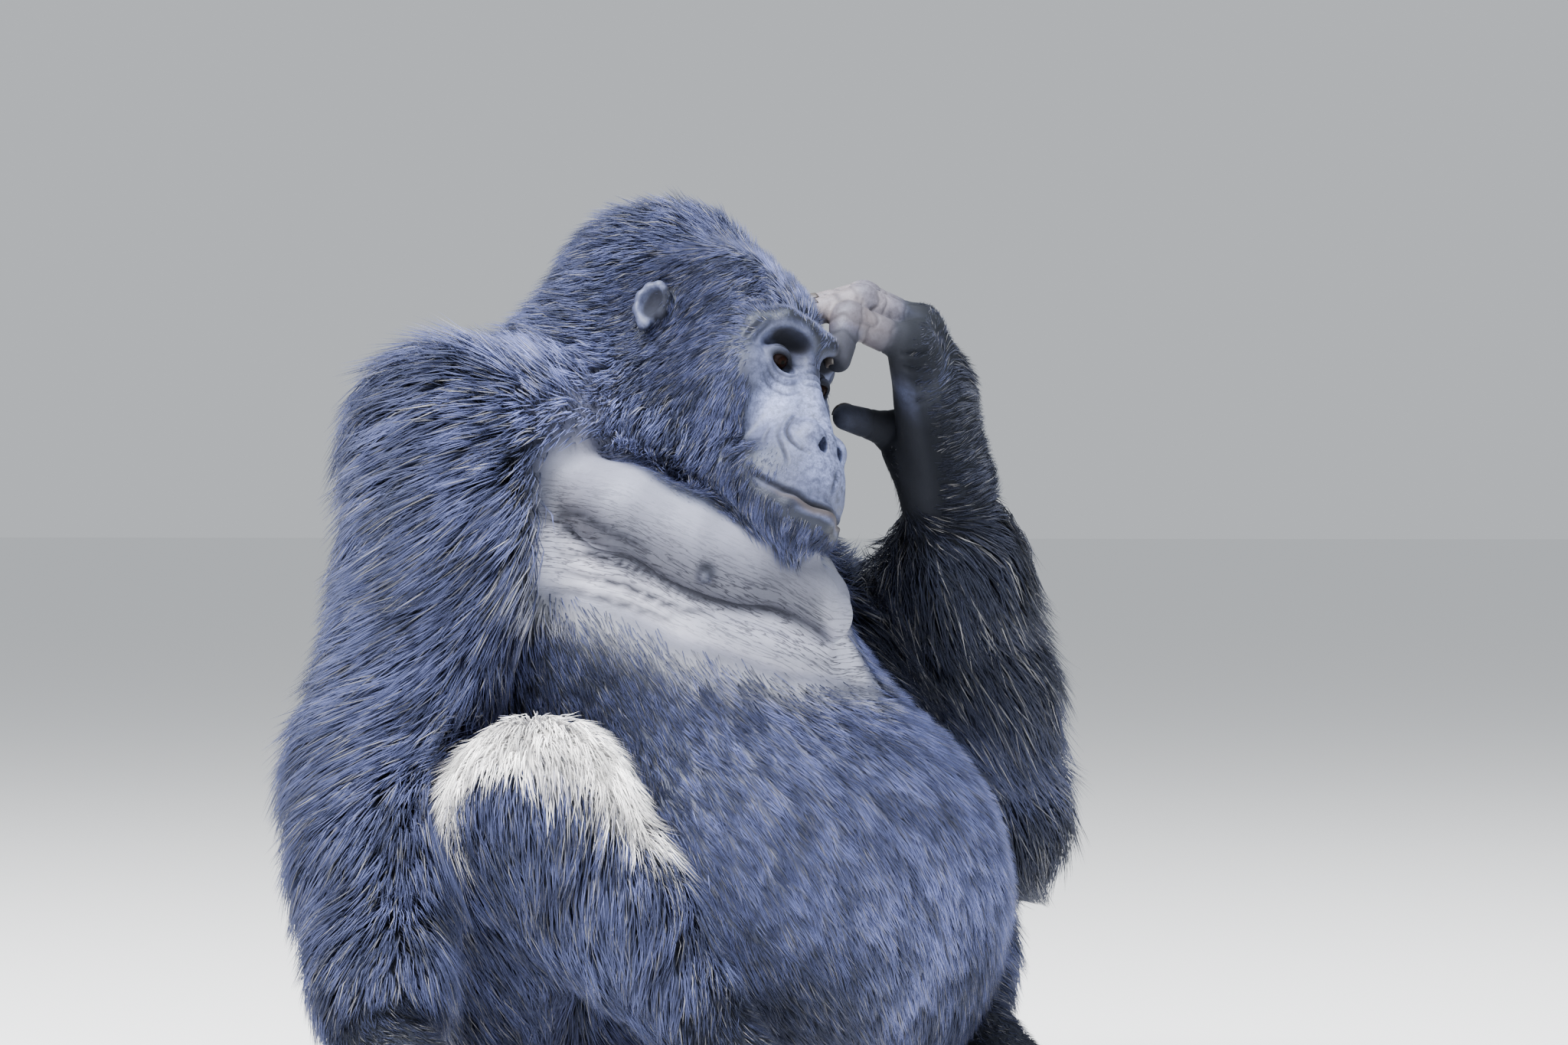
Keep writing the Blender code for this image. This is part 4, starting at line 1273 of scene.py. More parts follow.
def scatter(density):
    """Roots on the skin: density is tufts per square metre for each triangle."""
    expected = triangle_areas * density
    counts = np.floor(expected + random.random(len(expected))).astype(int)
    chosen = np.repeat(np.arange(len(counts)), counts)
    shares = random.random((len(chosen), 2))
    over = shares.sum(1) > 1.0
    shares[over] = 1.0 - shares[over]
    weights = np.column_stack([1.0 - shares.sum(1), shares])
    return chosen, weights


def blended(values, chosen, weights):
    """A vertex value at the roots."""
    picked = values[skin_triangles[chosen]]
    if picked.ndim == 2:
        return (picked * weights).sum(1)
    return (picked * weights[:, :, None]).sum(1)


print("skin area", triangle_areas.sum().round(3), "m2,", len(skin_triangles), "triangles")

# %% Lay the tufts
LOCK_SIZE = 26
GATHER = 0.35


def raised(points, heights):
    """Points moved along the field's slope to a height above the skin."""
    for _ in range(2):
        value = body_field.at(points)
        move = np.clip(heights - value, -0.03, 0.03)
        points = points + body_field.slope(points) * move[:, None]
    return points


def gathered(roots, tips):
    """The offset from each tip to the tip at the middle of its lock."""
    count = max(1, int(len(roots) / LOCK_SIZE))
    centres = random.choice(len(roots), count, replace=False)
    tree = KDTree(count)
    for number, index in enumerate(centres):
        tree.insert(roots[index], number)
    tree.balance()
    nearest = np.array([tree.find(root)[1] for root in roots.tolist()])
    return tips[centres[nearest]] - tips, nearest


def off_ground(points):
    points[:, 2] = np.maximum(points[:, 2], 0.002)
    return points


def lay(roots, normals, flow, length, height, width, bend):
    """Rings of points for each tuft: three at the root, three at the bend if it has one, and a tip."""
    flow = unit(flow - normals * (flow * normals).sum(1)[:, None])
    yaw = random.normal(0.0, 0.16, len(roots))[:, None]
    flow = unit(flow * np.cos(yaw) + np.cross(normals, flow) * np.sin(yaw))
    side = np.cross(normals, flow)
    base = roots - normals * 0.0015
    tips = raised(roots + flow * length[:, None], height)
    offset, lock = gathered(roots, tips)
    offset *= np.minimum(1.0, 0.6 * length / np.maximum(np.linalg.norm(offset, axis=1), 1e-9))[:, None]
    lock_height = 1.0 + random.normal(0.0, 0.13, lock.max() + 1)[lock]
    tips = off_ground(raised(tips + offset * GATHER, height * lock_height))
    thick = normals * (width * 0.45)[:, None]
    wide = side * (width * 0.5)[:, None]
    rings = [np.stack([base - wide, base + wide, base + thick], 1)]
    if bend:
        middle = between(roots, tips, 0.42) + normals * (height * 0.30)[:, None]
        middle = off_ground(raised(middle, height * 0.62))
        rings.append(np.stack([middle - wide * 0.85, middle + wide * 0.85, middle + thick * 0.7], 1))
    rings.append(tips[:, None])
    return np.concatenate(rings, 1), lock


# faces, then the place of each point along the tuft and across it
STRAIGHT = (np.array([[0, 2, 1], [0, 1, 3], [1, 2, 3], [2, 0, 3]]),
            np.array([0.0, 0.0, 0.0, 1.0]), np.array([-1.0, 1.0, 0.0, 0.0]))
BENT = (np.array([[0, 2, 1], [0, 1, 4], [0, 4, 3], [1, 2, 5], [1, 5, 4], [2, 0, 3], [2, 3, 5],
                  [3, 4, 6], [4, 5, 6], [5, 3, 6]]),
        np.array([0.0, 0.0, 0.0, 0.45, 0.45, 0.45, 1.0]), np.array([-1.0, 1.0, 0.0, -1.0, 1.0, 0.0, 0.0]))
TUFT_PATCH = 0.003


def store(mesh, label, values):
    """Keep one number for each point of a mesh."""
    mesh.attributes.new(label, "FLOAT", "POINT").data.foreach_set("value", np.asarray(values, np.float32))


def in_scene(name, data):
    """A new object in the scene."""
    thing = bpy.data.objects.new(name, data)
    bpy.context.scene.collection.objects.link(thing)
    return thing


def make_fur(name, spots, shape, places, values):
    """One joined mesh of tufts; places are the roots on the unwrap, values go to point attributes."""
    count, size = spots.shape[:2]
    pattern, along, across = shape
    faces = (pattern[None] + np.arange(count)[:, None, None] * size).reshape(-1, 3)
    mesh = bpy.data.meshes.new(name)
    mesh.vertices.add(count * size)
    mesh.loops.add(faces.size)
    mesh.polygons.add(len(faces))
    mesh.vertices.foreach_set("co", spots.reshape(-1).astype(np.float32))
    mesh.loops.foreach_set("vertex_index", faces.reshape(-1).astype(np.int32))
    mesh.polygons.foreach_set("loop_start", np.arange(0, faces.size, 3, dtype=np.int32))
    mesh.polygons.foreach_set("loop_total", np.full(len(faces), 3, np.int32))
    mesh.update(calc_edges=True)
    patch = np.stack([across, along * 2.0 - 1.0], -1) * TUFT_PATCH / 2
    corners = (places[:, None] + patch[None]).reshape(-1, 2)[faces.reshape(-1)]
    mesh.uv_layers.new(name="OFBake").data.foreach_set("uv", corners.reshape(-1).astype(np.float32))
    store(mesh, "along", np.tile(along, count))
    for label, value in values.items():
        store(mesh, label, np.repeat(value, size))
    mesh.shade_smooth()
    piece = in_scene(name, mesh)
    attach(piece, "root")


print("tuft shapes:", len(BENT[0]), "and", len(STRAIGHT[0]), "triangles")

# %% Regions of the coat
GROUP_NUMBERS = {name: number for number, name in enumerate(GROUPS)}
triangle_middles = triangle_spots.mean(1)
triangle_owner = skin_owner[skin_triangles[:, 0]]
on_back = (triangle_middles - at(-0.03, -0.03, 0.40))[:, 1] > 0.0
above_elbow = triangle_middles[:, 2] > JOINTS["right_elbow"][2]


def owned_by(*names):
    return np.isin(triangle_owner, [GROUP_NUMBERS[name] for name in names])


REGIONS = {
    "head": owned_by("head"),
    "back": owned_by("trunk", "breast") & on_back,
    "belly": owned_by("trunk", "breast") & ~on_back,
    "right_upper_arm": owned_by("right_arm") & above_elbow,
    "right_forearm": owned_by("right_arm") & ~above_elbow | owned_by("right_hand"),
    "left_arm": owned_by("left_arm", "left_hand"),
    "right_leg": owned_by("right_leg", "right_foot"),
    "left_leg": owned_by("left_leg", "left_foot"),
}
triangle_coat = coat_depth[skin_triangles].mean(1)
triangle_bare = masks["bare"][skin_triangles].mean(1)
for name, chosen in REGIONS.items():
    hairy = triangle_areas * chosen * (1.0 - triangle_bare)
    print(name, "hairy m2", hairy.sum().round(3), "long", (hairy * (triangle_coat > 0.018)).sum().round(3))

# %% [markdown]
# ## Combing the coat
# The coat is cut into pieces that a program can hold, one or two for each region, long hair bent and
# short hair straight. Density follows how closely a region is looked at: finest on the head, then the
# arms, then the back. Each region also has an unwrap of its own round its axis, where every tuft keeps
# one small patch, so that its colour can be baked.

# %% Regions: density and axis
LONG_COAT = (0.014, 0.020)
DENSITY = {
    # tufts per square metre, long and short
    "head": (125e3, 270e3), "back": (52e3, 80e3), "belly": (80e3, 112e3),
    "right_upper_arm": (95e3, 100e3), "right_forearm": (85e3, 100e3), "left_arm": (76e3, 100e3),
    "right_leg": (66e3, 90e3), "left_leg": (58e3, 80e3),
}
REGION_AXES = {
    "head": (on_head(-120, 0, -40), FACE_WAY), "back": (at(-0.03, -0.05, 0.35), TRUNK_AXES[2]),
    "belly": (at(0.0, -0.12, 0.30), TRUNK_AXES[2]),
}
for name, centre, start, end in (("right_upper_arm", "deltoid", "shoulder", "elbow"),
                                 ("right_forearm", "elbow", "elbow", "wrist"),
                                 ("left_arm", "elbow", "elbow", "wrist"),
                                 ("right_leg", "knee", "hip", "ankle"),
                                 ("left_leg", "knee", "hip", "ankle")):
    side = name.split("_")[0] + "_"
    REGION_AXES[name] = (joint(side + centre), unit(joint(side + end) - joint(side + start)))
HAIR_LENGTH = {"head": 0.62, "belly": 0.8}
print("regions:", len(REGION_AXES))

# %% Make the fur pieces
FEWEST_TUFTS = 20
THINNEST_COAT = 0.002
MARKED = ("silver", "knee", "thin", "shade")
LOOSE_WAY = unit(FACE_WAY * -0.5 - CROWN_WAY * 0.8)


def unwrap(points, centre, axis):
    """Turn round an axis and height along it, both scaled into the unit square."""
    across = unit(np.cross(axis, [0.3, 0.5, 0.8]))
    other = np.cross(axis, across)
    local = points - centre
    turn = np.arctan2(local @ other, local @ across) / (2 * math.pi) + 0.5
    height = local @ axis
    height = (height - height.min()) / max(np.ptp(height), 1e-6)
    return np.column_stack([0.01 + 0.98 * turn, 0.01 + 0.98 * height])


def hair_sizes(coat, reach, long_hair):
    """Length, height and width of each tuft, from the depth of the coat at its root."""
    count = len(coat)
    if long_hair:
        length = (0.020 + 1.1 * coat) * random.uniform(0.75, 1.2, count) * reach
        height = coat * random.uniform(0.55, 1.08, count)
        width = (0.0010 + 0.022 * coat + random.uniform(0.0, 0.0006, count)) * math.sqrt(reach)
    else:
        length = (0.007 + 1.35 * coat) * random.uniform(0.7, 1.2, count)
        height = coat * random.uniform(0.35, 0.9, count)
        width = 0.0006 + 0.050 * coat + random.uniform(0.0, 0.0004, count)
    return length, height, width


def comb(name, chosen_faces, density, long_hair):
    """Scatter, lay and join the tufts of one region."""
    long_share = ramp(triangle_coat, *LONG_COAT)
    share = long_share if long_hair else 1.0 - long_share
    chosen, weights = scatter(density * share * chosen_faces * (1.0 - triangle_bare) ** 2)
    if len(chosen) < FEWEST_TUFTS:
        return 0
    roots = blended(skin_points, chosen, weights)
    normals = unit(blended(skin_normals, chosen, weights))
    flow = blended(coat_flow, chosen, weights)
    flow = np.where(np.linalg.norm(flow, axis=1, keepdims=True) > 0.05, flow, LOOSE_WAY)
    coat = np.maximum(blended(coat_depth, chosen, weights), THINNEST_COAT)
    length, height, width = hair_sizes(coat, HAIR_LENGTH.get(name, 1.0), long_hair)
    spots, lock = lay(roots, normals, flow, length, height, width, bend=long_hair)
    values = {"tuft": random.random(len(roots)), "lock": random.random(lock.max() + 1)[lock]}
    for label in MARKED:
        values[label] = blended(masks[label], chosen, weights)
    shape = BENT if long_hair else STRAIGHT
    label = name + ("_long_fur" if long_hair else "_short_fur")
    make_fur(label, spots, shape, unwrap(roots, *REGION_AXES[name]), values)
    triangles = len(roots) * len(shape[0])
    print(label, len(roots), "tufts", triangles, "triangles")
    return triangles


fur_triangles = 0
for name, chosen_faces in REGIONS.items():
    for density, long_hair in zip(DENSITY[name], (True, False)):
        fur_triangles += comb(name, chosen_faces, density, long_hair)
print("fur:", fur_triangles, "triangles", clock())

# %% [markdown]
# ## Finishes
# Black ape hair is never plain black. Under a bright sky it shines blue-violet, and no two locks are the
# same; here that sheen is painted into the hair's own colour, and painted shade darkens it towards the root.
# Bare skin is slate grey with painted sky blue in it, creased, with painted shade round the eyes, in creases
# and under the breast, and painted sheen on the nose; it is paler on the chest, browner on lips and fingers.
# Both finishes share two node groups: one for the coat's markings and one for fine creases, so that skin
# seen between the hairs has the coat's own colours.

# %% Node helpers
class Nodes:
    """A node tree written like a sum: each call adds one node and gives back its output."""

    def __init__(self, tree):
        self.tree = tree

    def feed(self, socket, value):
        """Link a socket, or set it to a constant."""
        if isinstance(value, bpy.types.NodeSocket):
            self.tree.links.new(value, socket)
        else:
            socket.default_value = (*value, 1.0) if np.ndim(value) else value

    def add(self, kind, output, inputs, **settings):
        node = self.tree.nodes.new("ShaderNode" + kind)
        for label, value in settings.items():
            setattr(node, label, value)
        for label, value in inputs.items():
            self.feed(node.inputs[label], value)
        return node.outputs[output]

    def attribute(self, name):
        return self.add("Attribute", "Fac", {}, attribute_name=name)

    def place(self):
        return self.add("TexCoord", "Object", {})

    def mix(self, share, first, second, blend="MIX"):
        return self.add("Mix", 2, {"Factor": share, 6: first, 7: second}, data_type="RGBA", blend_type=blend)

    def math(self, operation, first, second=0.0):
        return self.add("Math", 0, {0: first, 1: second}, operation=operation)

    def plus(self, first, second):
        return self.math("ADD", first, second)

    def minus(self, first, second):
        return self.math("SUBTRACT", first, second)

    def times(self, first, second):
        return self.math("MULTIPLY", first, second)

    def span(self, value, low=0.0, high=1.0, to_low=0.0, to_high=1.0):
        """The value's place between low and high, carried to another span."""
        return self.add("MapRange", 0, dict(enumerate((value, low, high, to_low, to_high))))

    def blend_values(self, share, first, second):
        """A number between two, by the share."""
        return self.plus(first, self.times(share, self.minus(second, first)))

    def noise(self, vector, scale, detail=4.0, roughness=0.6):
        return self.add("TexNoise", "Fac",
                        {"Vector": vector, "Scale": scale, "Detail": detail, "Roughness": roughness})

    def marks(self):
        """The masks that the coat's markings read."""
        return {label.capitalize(): self.attribute(label) for label in MARKED}

    def group(self, tree, inputs):
        return self.add("Group", 0, inputs, node_tree=tree)


def new_group(name, inputs, output, kind):
    """A node group with number or colour inputs, given with their defaults, and one output."""
    tree = bpy.data.node_groups.new(name, "ShaderNodeTree")
    for label, value in inputs.items():
        socket_kind = "NodeSocketColor" if np.ndim(value) else "NodeSocketFloat"
        socket = tree.interface.new_socket(name=label, in_out="INPUT", socket_type=socket_kind)
        socket.default_value = (*value, 1.0) if np.ndim(value) else value
    tree.interface.new_socket(name=output, in_out="OUTPUT", socket_type=kind)
    given = tree.nodes.new("NodeGroupInput").outputs
    return Nodes(tree), given, tree.nodes.new("NodeGroupOutput").inputs[output]


def new_finish(name, **even):
    """A material whose even values sit on the shader itself."""
    material = bpy.data.materials.new(name)
    material.use_nodes = True
    nodes = Nodes(material.node_tree)
    shader = material.node_tree.nodes["Principled BSDF"].inputs
    for label, value in even.items():
        nodes.feed(shader[label.replace("_", " ")], value)
    return material, nodes, shader


print("node helpers:", [name for name in vars(Nodes) if not name.startswith("_")])

# %% The coat's markings and the skin's creases as groups
# Black hair with the sky's blue-violet sheen painted into its colour.
BLACK_WITH_PAINTED_SKY_BLUE = (0.043, 0.050, 0.110)
SILVER_HAIR = (0.42, 0.43, 0.48)
PALE_HAIR = (0.95, 0.93, 0.91)
# Lift where hair is thin and where light is painted on.
THIN_HAIR_AND_PAINTED_LIGHT_LIFT = 2.3
# Drop under painted shade, and on the feet and right hand, which are darker in their own colour.
PAINTED_SHADE_AND_DARK_FEET_DROP = 0.11
CRACKS_PER_METRE = 330.0
GRAIN_PER_METRE = 520.0
FOLDS_PER_METRE = 60.0


def coat_markings():
    """Black with painted sky sheen, silver saddle and pale knees, from the masks and a number that differs
    from lock to lock; thin hair and painted light lift it, painted shade and the dark feet drop it.
    """
    inputs = {**{label.capitalize(): 0.0 for label in MARKED}, "Lock": 0.5, "Black": BLACK_WITH_PAINTED_SKY_BLUE}
    nodes, given, result = new_group("coat_markings", inputs, "Color", "NodeSocketColor")
    lock = given["Lock"]
    patch = nodes.noise(nodes.place(), 14.0, 3.0)
    lift = nodes.plus(nodes.span(lock, 0.0, 1.0, 0.35, 1.45), nodes.span(patch, 0.3, 0.7, -0.25, 0.25))
    # Thin hair and painted light lift the colour.
    lift = nodes.times(lift, nodes.span(given["Thin"], to_low=1.0, to_high=THIN_HAIR_AND_PAINTED_LIGHT_LIFT))
    # Painted shade, and the own darker colour of the feet and right hand, drop the colour.
    lift = nodes.times(lift, nodes.span(given["Shade"], to_low=1.0, to_high=PAINTED_SHADE_AND_DARK_FEET_DROP))
    black = nodes.mix(1.0, given["Black"], lift, "MULTIPLY")
    silver_share = nodes.span(nodes.minus(given["Silver"], lock), -0.35, 0.25)
    silver = nodes.mix(nodes.times(silver_share, given["Silver"]), black, SILVER_HAIR)
    knee_share = nodes.span(nodes.minus(given["Knee"], nodes.times(lock, 0.7)), -0.10, 0.45)
    nodes.feed(result, nodes.mix(knee_share, silver, PALE_HAIR))
    return nodes.tree


def creases():
    """Fine pores and cracked creases of bare skin, as one height."""
    nodes, given, result = new_group("creases", {"Size": 1.0, "Depth": 1.0}, "Height", "NodeSocketFloat")
    scaled = nodes.add("VectorMath", 0, {0: nodes.place(), "Scale": given["Size"]}, operation="SCALE")
    cracks = nodes.add("TexVoronoi", "Distance", {"Vector": scaled, "Scale": CRACKS_PER_METRE},
                       feature="DISTANCE_TO_EDGE")
    lines = nodes.times(nodes.span(cracks, 0.0, 0.16), 0.10)
    grain = nodes.times(nodes.noise(scaled, GRAIN_PER_METRE, 3.0), 0.30)
    total = nodes.plus(nodes.plus(lines, grain), nodes.noise(scaled, FOLDS_PER_METRE))
    nodes.feed(result, nodes.times(total, given["Depth"]))
    return nodes.tree


MARKINGS = coat_markings()
CREASES = creases()
print("groups:", MARKINGS.name, CREASES.name)

# %% Fur finish
def fur_finish():
    material, nodes, shader = new_finish(
        "silverback_fur", Sheen_Weight=0.10, Sheen_Roughness=0.35, Sheen_Tint=(0.55, 0.62, 1.0),
        Specular_Tint=(0.70, 0.78, 1.0), Specular_IOR_Level=0.32)
    tuft = nodes.attribute("tuft")
    colour = nodes.group(MARKINGS, {**nodes.marks(), "Lock": tuft})
    colour = nodes.mix(1.0, colour, nodes.span(nodes.attribute("lock"), 0.0, 1.0, 0.45, 1.55), "MULTIPLY")
    # Painted shade deep in the coat: darker towards the root, lighter towards the tip.
    root = nodes.span(nodes.attribute("knee"), 0.0, 1.0, 0.10, 0.75)
    lift = nodes.blend_values(nodes.span(nodes.attribute("along"), 0.0, 0.9), root, 1.60)
    nodes.feed(shader["Base Color"], nodes.mix(1.0, colour, lift, "MULTIPLY"))
    nodes.feed(shader["Roughness"], nodes.span(tuft, 0.0, 1.0, 0.34, 0.55))
    return material


fur_material = fur_finish()
fur_pieces = [piece for piece in bpy.data.objects if piece.name.endswith("_fur")]
for piece in fur_pieces:
    piece.data.materials.append(fur_material)
print("fur pieces:", len(fur_pieces))

# %% Skin finish
# The blue in these skin tones is painted sky reflection over the skin's own slate grey.
SLATE = (0.200, 0.236, 0.430)
SLATE_DARK = (0.036, 0.040, 0.070)
CHEST_GREY = (0.178, 0.185, 0.240)
CHEST_PALE = (0.520, 0.530, 0.640)
# Darker chest mottle, and painted shade in the wrinkle lines.
CHEST_MOTTLE_AND_WRINKLE_SHADE = (0.040, 0.037, 0.046)
# Painted shade under the breast.
UNDER_BREAST_SHADE = (0.022, 0.021, 0.027)
LIP_BROWN = (0.068, 0.056, 0.054)
FINGER_GREY = (0.420, 0.375, 0.400)
FINGER_DARK = (0.120, 0.105, 0.115)
# Painted shade in creases.
CREASE_SHADE_BLACK = (0.014, 0.014, 0.020)
# Painted shade in hollows, and the nipple's own black.
HOLLOW_SHADE_AND_NIPPLE_BLACK = (0.005, 0.005, 0.008)
# Painted shade on the left hand, and the own dark skin of the feet and right hand.
PAINTED_SHADE_AND_DARK_FEET_SKIN = (0.009, 0.0095, 0.012)
SCALP = (0.012, 0.013, 0.022)
# Skin under thin hair, and under painted light on the neck and cheeks.
THIN_HAIR_AND_PAINTED_LIGHT_SCALP = (0.060, 0.064, 0.100)
BUMP_HEIGHT = 0.0011


def chest_wrinkles(nodes):
    """0 in the long fine lines that run along the breast, 1 between them."""
    lines = nodes.add("CombineXYZ", 0, {0: nodes.times(nodes.attribute("run"), 26.0),
                                        1: nodes.times(nodes.attribute("across"), 190.0)})
    off_line = nodes.math("ABSOLUTE", nodes.minus(nodes.noise(lines, 1.0, 3.0, 0.55), 0.5))
    return nodes.span(off_line, 0.0, 0.035)


def skin_finish():
    material, nodes, shader = new_finish(
        "slate_skin", Specular_Tint=(0.72, 0.80, 1.0), Specular_IOR_Level=0.42)
    mask = {label: nodes.attribute(label) for label in masks}
    place = nodes.place()
    patch = nodes.noise(place, 32.0, 5.0)
    mottle = nodes.noise(place, 160.0, 4.0, 0.75)
    pores = nodes.noise(place, 420.0, 3.0, 0.7)
    wrinkle = chest_wrinkles(nodes)
    share = nodes.plus(nodes.span(patch, 0.35, 0.65, 0.0, 0.45), nodes.span(mottle, 0.40, 0.60, 0.0, 0.55))
    # Painted sheen keeps the nose, bridge and cheeks lighter; the rest of the face is darker.
    share = nodes.times(share, nodes.span(mask["pale"], 0.0, 1.0, 0.30, 1.08))
    slate = nodes.mix(share, SLATE_DARK, SLATE)
    slate = nodes.mix(nodes.span(pores, 0.52, 0.66, 0.0, 0.45), slate, SLATE_DARK)
    grey = nodes.mix(mask["band"], CHEST_GREY, CHEST_PALE)
    grey = nodes.mix(nodes.span(patch, 0.3, 0.7, 0.22, 0.0), grey, CHEST_MOTTLE_AND_WRINKLE_SHADE)
    # Painted shade in the chest's wrinkle lines.
    wrinkle_shade = nodes.times(nodes.minus(1.0, wrinkle), mask["crinkle"])
    grey = nodes.mix(nodes.times(wrinkle_shade, 0.95), grey, CHEST_MOTTLE_AND_WRINKLE_SHADE)
    # Painted shade under the breast roll.
    grey = nodes.mix(nodes.times(mask["under"], nodes.span(wrinkle, 0.0, 1.0, 1.0, 0.80)), grey, UNDER_BREAST_SHADE)
    worn = nodes.mix(share, FINGER_DARK, FINGER_GREY)
    colour = nodes.mix(mask["chest"], nodes.mix(mask["finger"], slate, worn), grey)
    # Browner lips in their own colour, then painted shade in creases, on the left hand and in the hollows;
    # the feet, right hand and nipple are darker in their own colour.
    tones = {"warm": LIP_BROWN, "crease": CREASE_SHADE_BLACK, "shade": PAINTED_SHADE_AND_DARK_FEET_SKIN, "dark": HOLLOW_SHADE_AND_NIPPLE_BLACK}
    for label, tone in tones.items():
        colour = nodes.mix(mask[label], colour, tone)
    # Lighter skin under thin hair and under painted light.
    scalp = nodes.mix(mask["thin"], SCALP, THIN_HAIR_AND_PAINTED_LIGHT_SCALP)
    under = nodes.group(MARKINGS, {**nodes.marks(), "Lock": 0.25, "Black": scalp})
    nodes.feed(shader["Base Color"], nodes.mix(mask["bare"], under, colour))
    dull = nodes.math("MAXIMUM", nodes.math("MAXIMUM", mask["dark"], mask["shade"]), mask["crease"])
    gloss = nodes.span(mottle, 0.3, 0.7, 0.38, 0.60)
    nodes.feed(shader["Roughness"], nodes.blend_values(dull, gloss, 0.92))
    ridges = nodes.times(nodes.times(wrinkle, mask["crinkle"]), mask["chest"])
    height = nodes.plus(nodes.group(CREASES, {"Size": 1.0, "Depth": 1.0}), nodes.times(ridges, 1.6))
    bump = nodes.add("Bump", "Normal", {"Strength": 0.55, "Distance": BUMP_HEIGHT, "Height": height})
    nodes.feed(shader["Normal"], bump)
    return material


skin_material = skin_finish()
print("skin finish reads", len(masks), "masks")

# %% [markdown]
# ## Eyes
# A gorilla's eye is nearly all iris: dark brown, glossy, with hardly any white. Each ball is a sphere
# with a slight cornea bulge, coloured by how far a point lies from the line of sight.

# %% Eyeballs
GAZE = unit(FACE_WAY * 0.93 - CROWN_WAY * 0.25 - LEFT_WAY * 0.12)
EYE_RADIUS = 0.0125
IRIS_REACH = 0.52
CORNEA_BULGE = 0.035


def eye_finish():
    material, nodes, shader = new_finish("brown_eye", Roughness=0.07, Specular_IOR_Level=0.025)
    turn = nodes.attribute("turn")
    rays = nodes.noise(nodes.place(), 900.0, 2.0)
    iris = nodes.mix(rays, (0.0045, 0.0022, 0.0018), (0.0095, 0.0042, 0.0030))
    iris = nodes.mix(nodes.span(turn, 0.36, 0.50), iris, (0.003, 0.0015, 0.0012))
    iris = nodes.mix(nodes.span(turn, 0.17, 0.20), (0.001, 0.001, 0.001), iris)
    white = nodes.mix(nodes.span(turn, 0.52, 1.1), (0.006, 0.004, 0.004), (0.014, 0.009, 0.009))
    nodes.feed(shader["Base Color"], nodes.mix(nodes.span(turn, 0.50, 0.56), iris, white))
    return material


def off_gaze(spot):
    """The angle between a point of the ball and the line of sight."""
    return math.acos(max(-1.0, min(1.0, float(np.dot(unit(np.array(spot)), GAZE)))))


eye_material = eye_finish()
for name, side in (("left_eye", 1), ("right_eye", -1)):
    centre = on_head(EYE_PLACE[0], EYE_PLACE[1] * side, EYE_PLACE[2])
    ball = bmesh.new()
    bmesh.ops.create_uvsphere(ball, u_segments=48, v_segments=32, radius=EYE_RADIUS)
    for vert in ball.verts:
        share = min(off_gaze(vert.co) / IRIS_REACH, 1.0)
        vert.co *= 1.0 + CORNEA_BULGE * max(0.0, math.cos(share * math.pi / 2))
    mesh = bpy.data.meshes.new(name + "_ball")
    ball.to_mesh(mesh)
    ball.free()
    store(mesh, "turn", [off_gaze(vertex.co) for vertex in mesh.vertices])
    mesh.transform(Matrix.Translation(Vector(centre)))
    mesh.shade_smooth()
    mesh.materials.append(eye_material)
    eyeball = in_scene(name + "_ball", mesh)
    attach(eyeball, "root")
    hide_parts(name)
    print(name, "at", centre.round(4))

# %% [markdown]
# ## Nails
# Apes have flat nails on all twenty digits. Each is a curved plate with an edge, laid on the back of
# the last bone. The back of a digit is the side away from its bend. All plates are joined in one mesh.

# %% Nail plates
NAIL_ROWS = 6
NAIL_COLUMNS = 9
NAIL_HALF_TURN = 0.75
NAIL_RISE = 0.0012
NAIL_DEPTH = 0.0016


def nail_points(joints, radius, rise):
    """A grid of points that wraps the tip of a digit, standing off its flesh by the rise."""
    knuckle, middle, tip = joints
    along = unit(tip - middle)
    bend = (knuckle - middle) - along * ((knuckle - middle) @ along)
    back = -unit(bend)
    side = np.cross(along, back)
    grid = []
    for place in np.linspace(-0.35, 0.80, NAIL_ROWS):
        around = math.sqrt(1.0 - (max(place, 0.0) / 1.12) ** 2) * radius + rise
        for turn in np.linspace(-NAIL_HALF_TURN, NAIL_HALF_TURN, NAIL_COLUMNS):
            way = back * math.cos(turn) + side * math.sin(turn)
            grid.append(tip + along * place * radius + way * around)
    return grid


def plate_faces(first):
    """Top, underside and rim of one plate, whose underside points follow its top points."""
    size = NAIL_ROWS * NAIL_COLUMNS
    grid = first + np.arange(size).reshape(NAIL_ROWS, NAIL_COLUMNS)
    faces = []
    for row in range(NAIL_ROWS - 1):
        for column in range(NAIL_COLUMNS - 1):
            a, b = grid[row, column:column + 2]
            d, c = grid[row + 1, column:column + 2]
            faces += [(a, b, c, d), (d + size, c + size, b + size, a + size)]
    rim = [*grid[0], *grid[1:, -1], *grid[-1, -2::-1], *grid[-2:0:-1, 0]]
    for a, b in zip(rim, rim[1:] + rim[:1]):
        faces.append((b, a, a + size, b + size))
    return faces


nail_spots, nail_faces = [], []
for joints, radii in DIGITS.values():
    nail_faces += plate_faces(len(nail_spots))
    nail_spots += nail_points(joints, radii[2], NAIL_RISE) + nail_points(joints, radii[2], -NAIL_DEPTH)
nail_mesh = bpy.data.meshes.new("nails")
nail_mesh.from_pydata([(x, y, max(z, ABOVE_GROUND)) for x, y, z in nail_spots], [], nail_faces)
nail_mesh.materials.append(new_finish("dark_horn", Roughness=0.35, Base_Color=(0.055, 0.048, 0.046))[0])
nail_mesh.shade_smooth()
nails = in_scene("nails", nail_mesh)
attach(nails, "root")
print("nails:", len(DIGITS), "plates,", len(nail_faces), "faces")

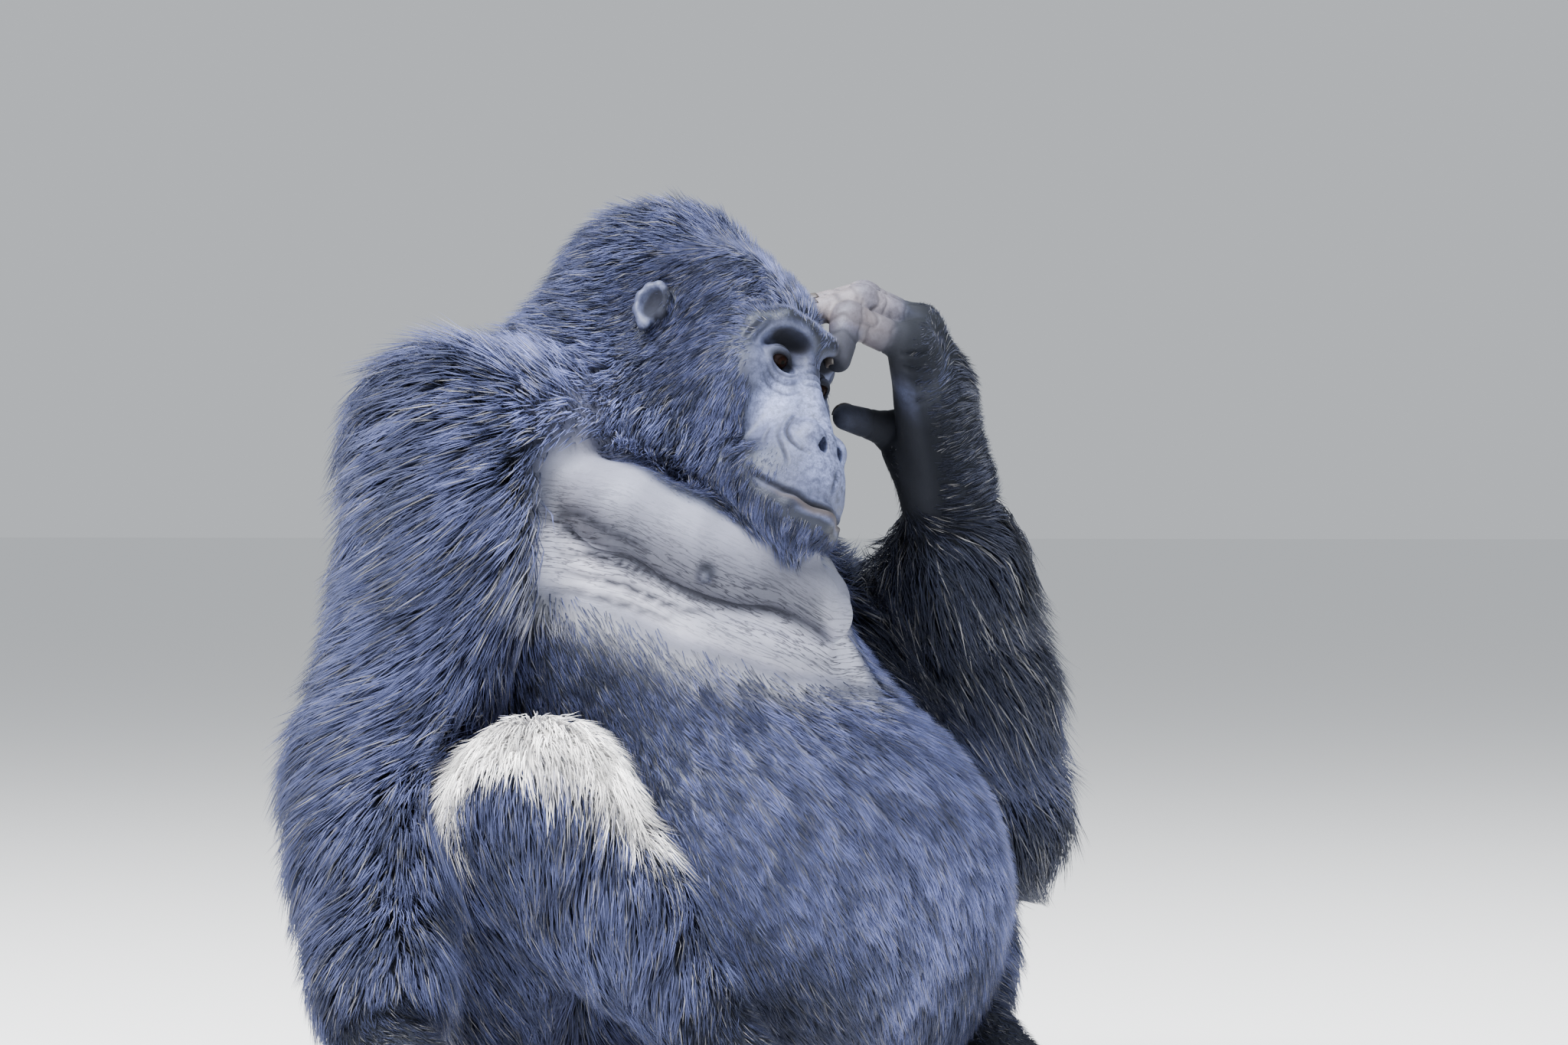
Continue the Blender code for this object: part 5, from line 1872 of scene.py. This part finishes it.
# %% [markdown]
# ## The skin as one piece
# The skin stands for every solid of flesh, so that no seam shows. Its masks are stored on its points
# for the finish to read.

# %% Skin object
for label, values in masks.items():
    store(skin_mesh, label, values)
skin_mesh.materials.append(skin_material)
skin_mesh.shade_smooth()
skin = in_scene("skin", skin_mesh)
flesh = [name for name in frame["nodes"] if not name.endswith("_eye")]
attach(skin, "root")
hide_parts(*flesh)
print("skin:", len(skin_mesh.vertices), "points, stands for", len(flesh), "solids")

# %% [markdown]
# ## Camera, floor and light
# The camera stands low and far away, level with the chest, to the animal's right and in front. A long
# lens keeps the proportions. Light is that of an overcast sky: one broad lamp above on the near side,
# a weak fill, and a pale world, all on a plain pale floor.

# %% Camera
SIGHT_HEIGHT = 0.617
CAMERA_DISTANCE = 8.0
VIEW_WIDTH = 1.6384
SENSOR = 36.0

camera_data = bpy.data.cameras.new("camera")
camera_data.sensor_width = SENSOR
camera_data.lens = SENSOR * CAMERA_DISTANCE / VIEW_WIDTH
camera = in_scene("camera", camera_data)
camera.location = Vector(VIEW_CENTRE + UP * SIGHT_HEIGHT + VIEW_TOWARDS * CAMERA_DISTANCE)
camera.rotation_euler = Vector(VIEW_TOWARDS).to_track_quat("Z", "Y").to_euler()
bpy.context.scene.camera = camera
print("lens", round(camera_data.lens, 1), "mm at", tuple(round(v, 2) for v in camera.location))

# %% Floor and lights
FLOOR_EDGE = 250.0
LAMP_DISTANCE = 7.0
LAMP_AIM = Vector((0.0, 0.0, 0.5))
WORLD_STRENGTH = 0.66

floor_mesh = bpy.data.meshes.new("floor")
floor_corners = [(x * FLOOR_EDGE, y * FLOOR_EDGE, 0.0) for x, y in ((-1, -1), (1, -1), (1, 1), (-1, 1))]
floor_mesh.from_pydata(floor_corners, [], [(0, 1, 2, 3)])
floor_finish = new_finish("floor", Roughness=0.9, Base_Color=(0.90, 0.90, 0.90), Specular_IOR_Level=0.0)
floor_mesh.materials.append(floor_finish[0])
floor = in_scene("floor", floor_mesh)
floor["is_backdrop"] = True


def soft_lamp(name, turn, lift, size, watts, colour):
    """A square lamp on a sphere round the animal, looking at its chest."""
    data = bpy.data.lights.new(name, "AREA")
    data.size = size
    data.energy = watts
    data.color = colour
    lamp = in_scene(name, data)
    turn, lift = math.radians(turn), math.radians(lift)
    way = Vector((math.sin(turn) * math.cos(lift), -math.cos(turn) * math.cos(lift), math.sin(lift)))
    lamp.location = LAMP_AIM + way * LAMP_DISTANCE
    lamp.rotation_euler = way.to_track_quat("Z", "Y").to_euler()


soft_lamp("key", -95.0, 50.0, 3.2, 1700.0, (1.0, 0.98, 0.96))
soft_lamp("sky", -20.0, 80.0, 5.0, 1000.0, (0.90, 0.95, 1.0))
soft_lamp("fill", -40.0, 15.0, 4.0, 70.0, (0.92, 0.95, 1.0))
world = bpy.data.worlds.new("world")
world.use_nodes = True
background = world.node_tree.nodes["Background"].inputs
background["Color"].default_value = (0.86, 0.90, 0.95, 1.0)
background["Strength"].default_value = WORLD_STRENGTH
bpy.context.scene.world = world
print("lamps: 3, world strength", WORLD_STRENGTH)

# %% Sizes, and the end
visual_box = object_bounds()
print("visual box", [tuple(round(v, 3) for v in c) for c in visual_box], round(time.time() - STARTED, 1), "s")
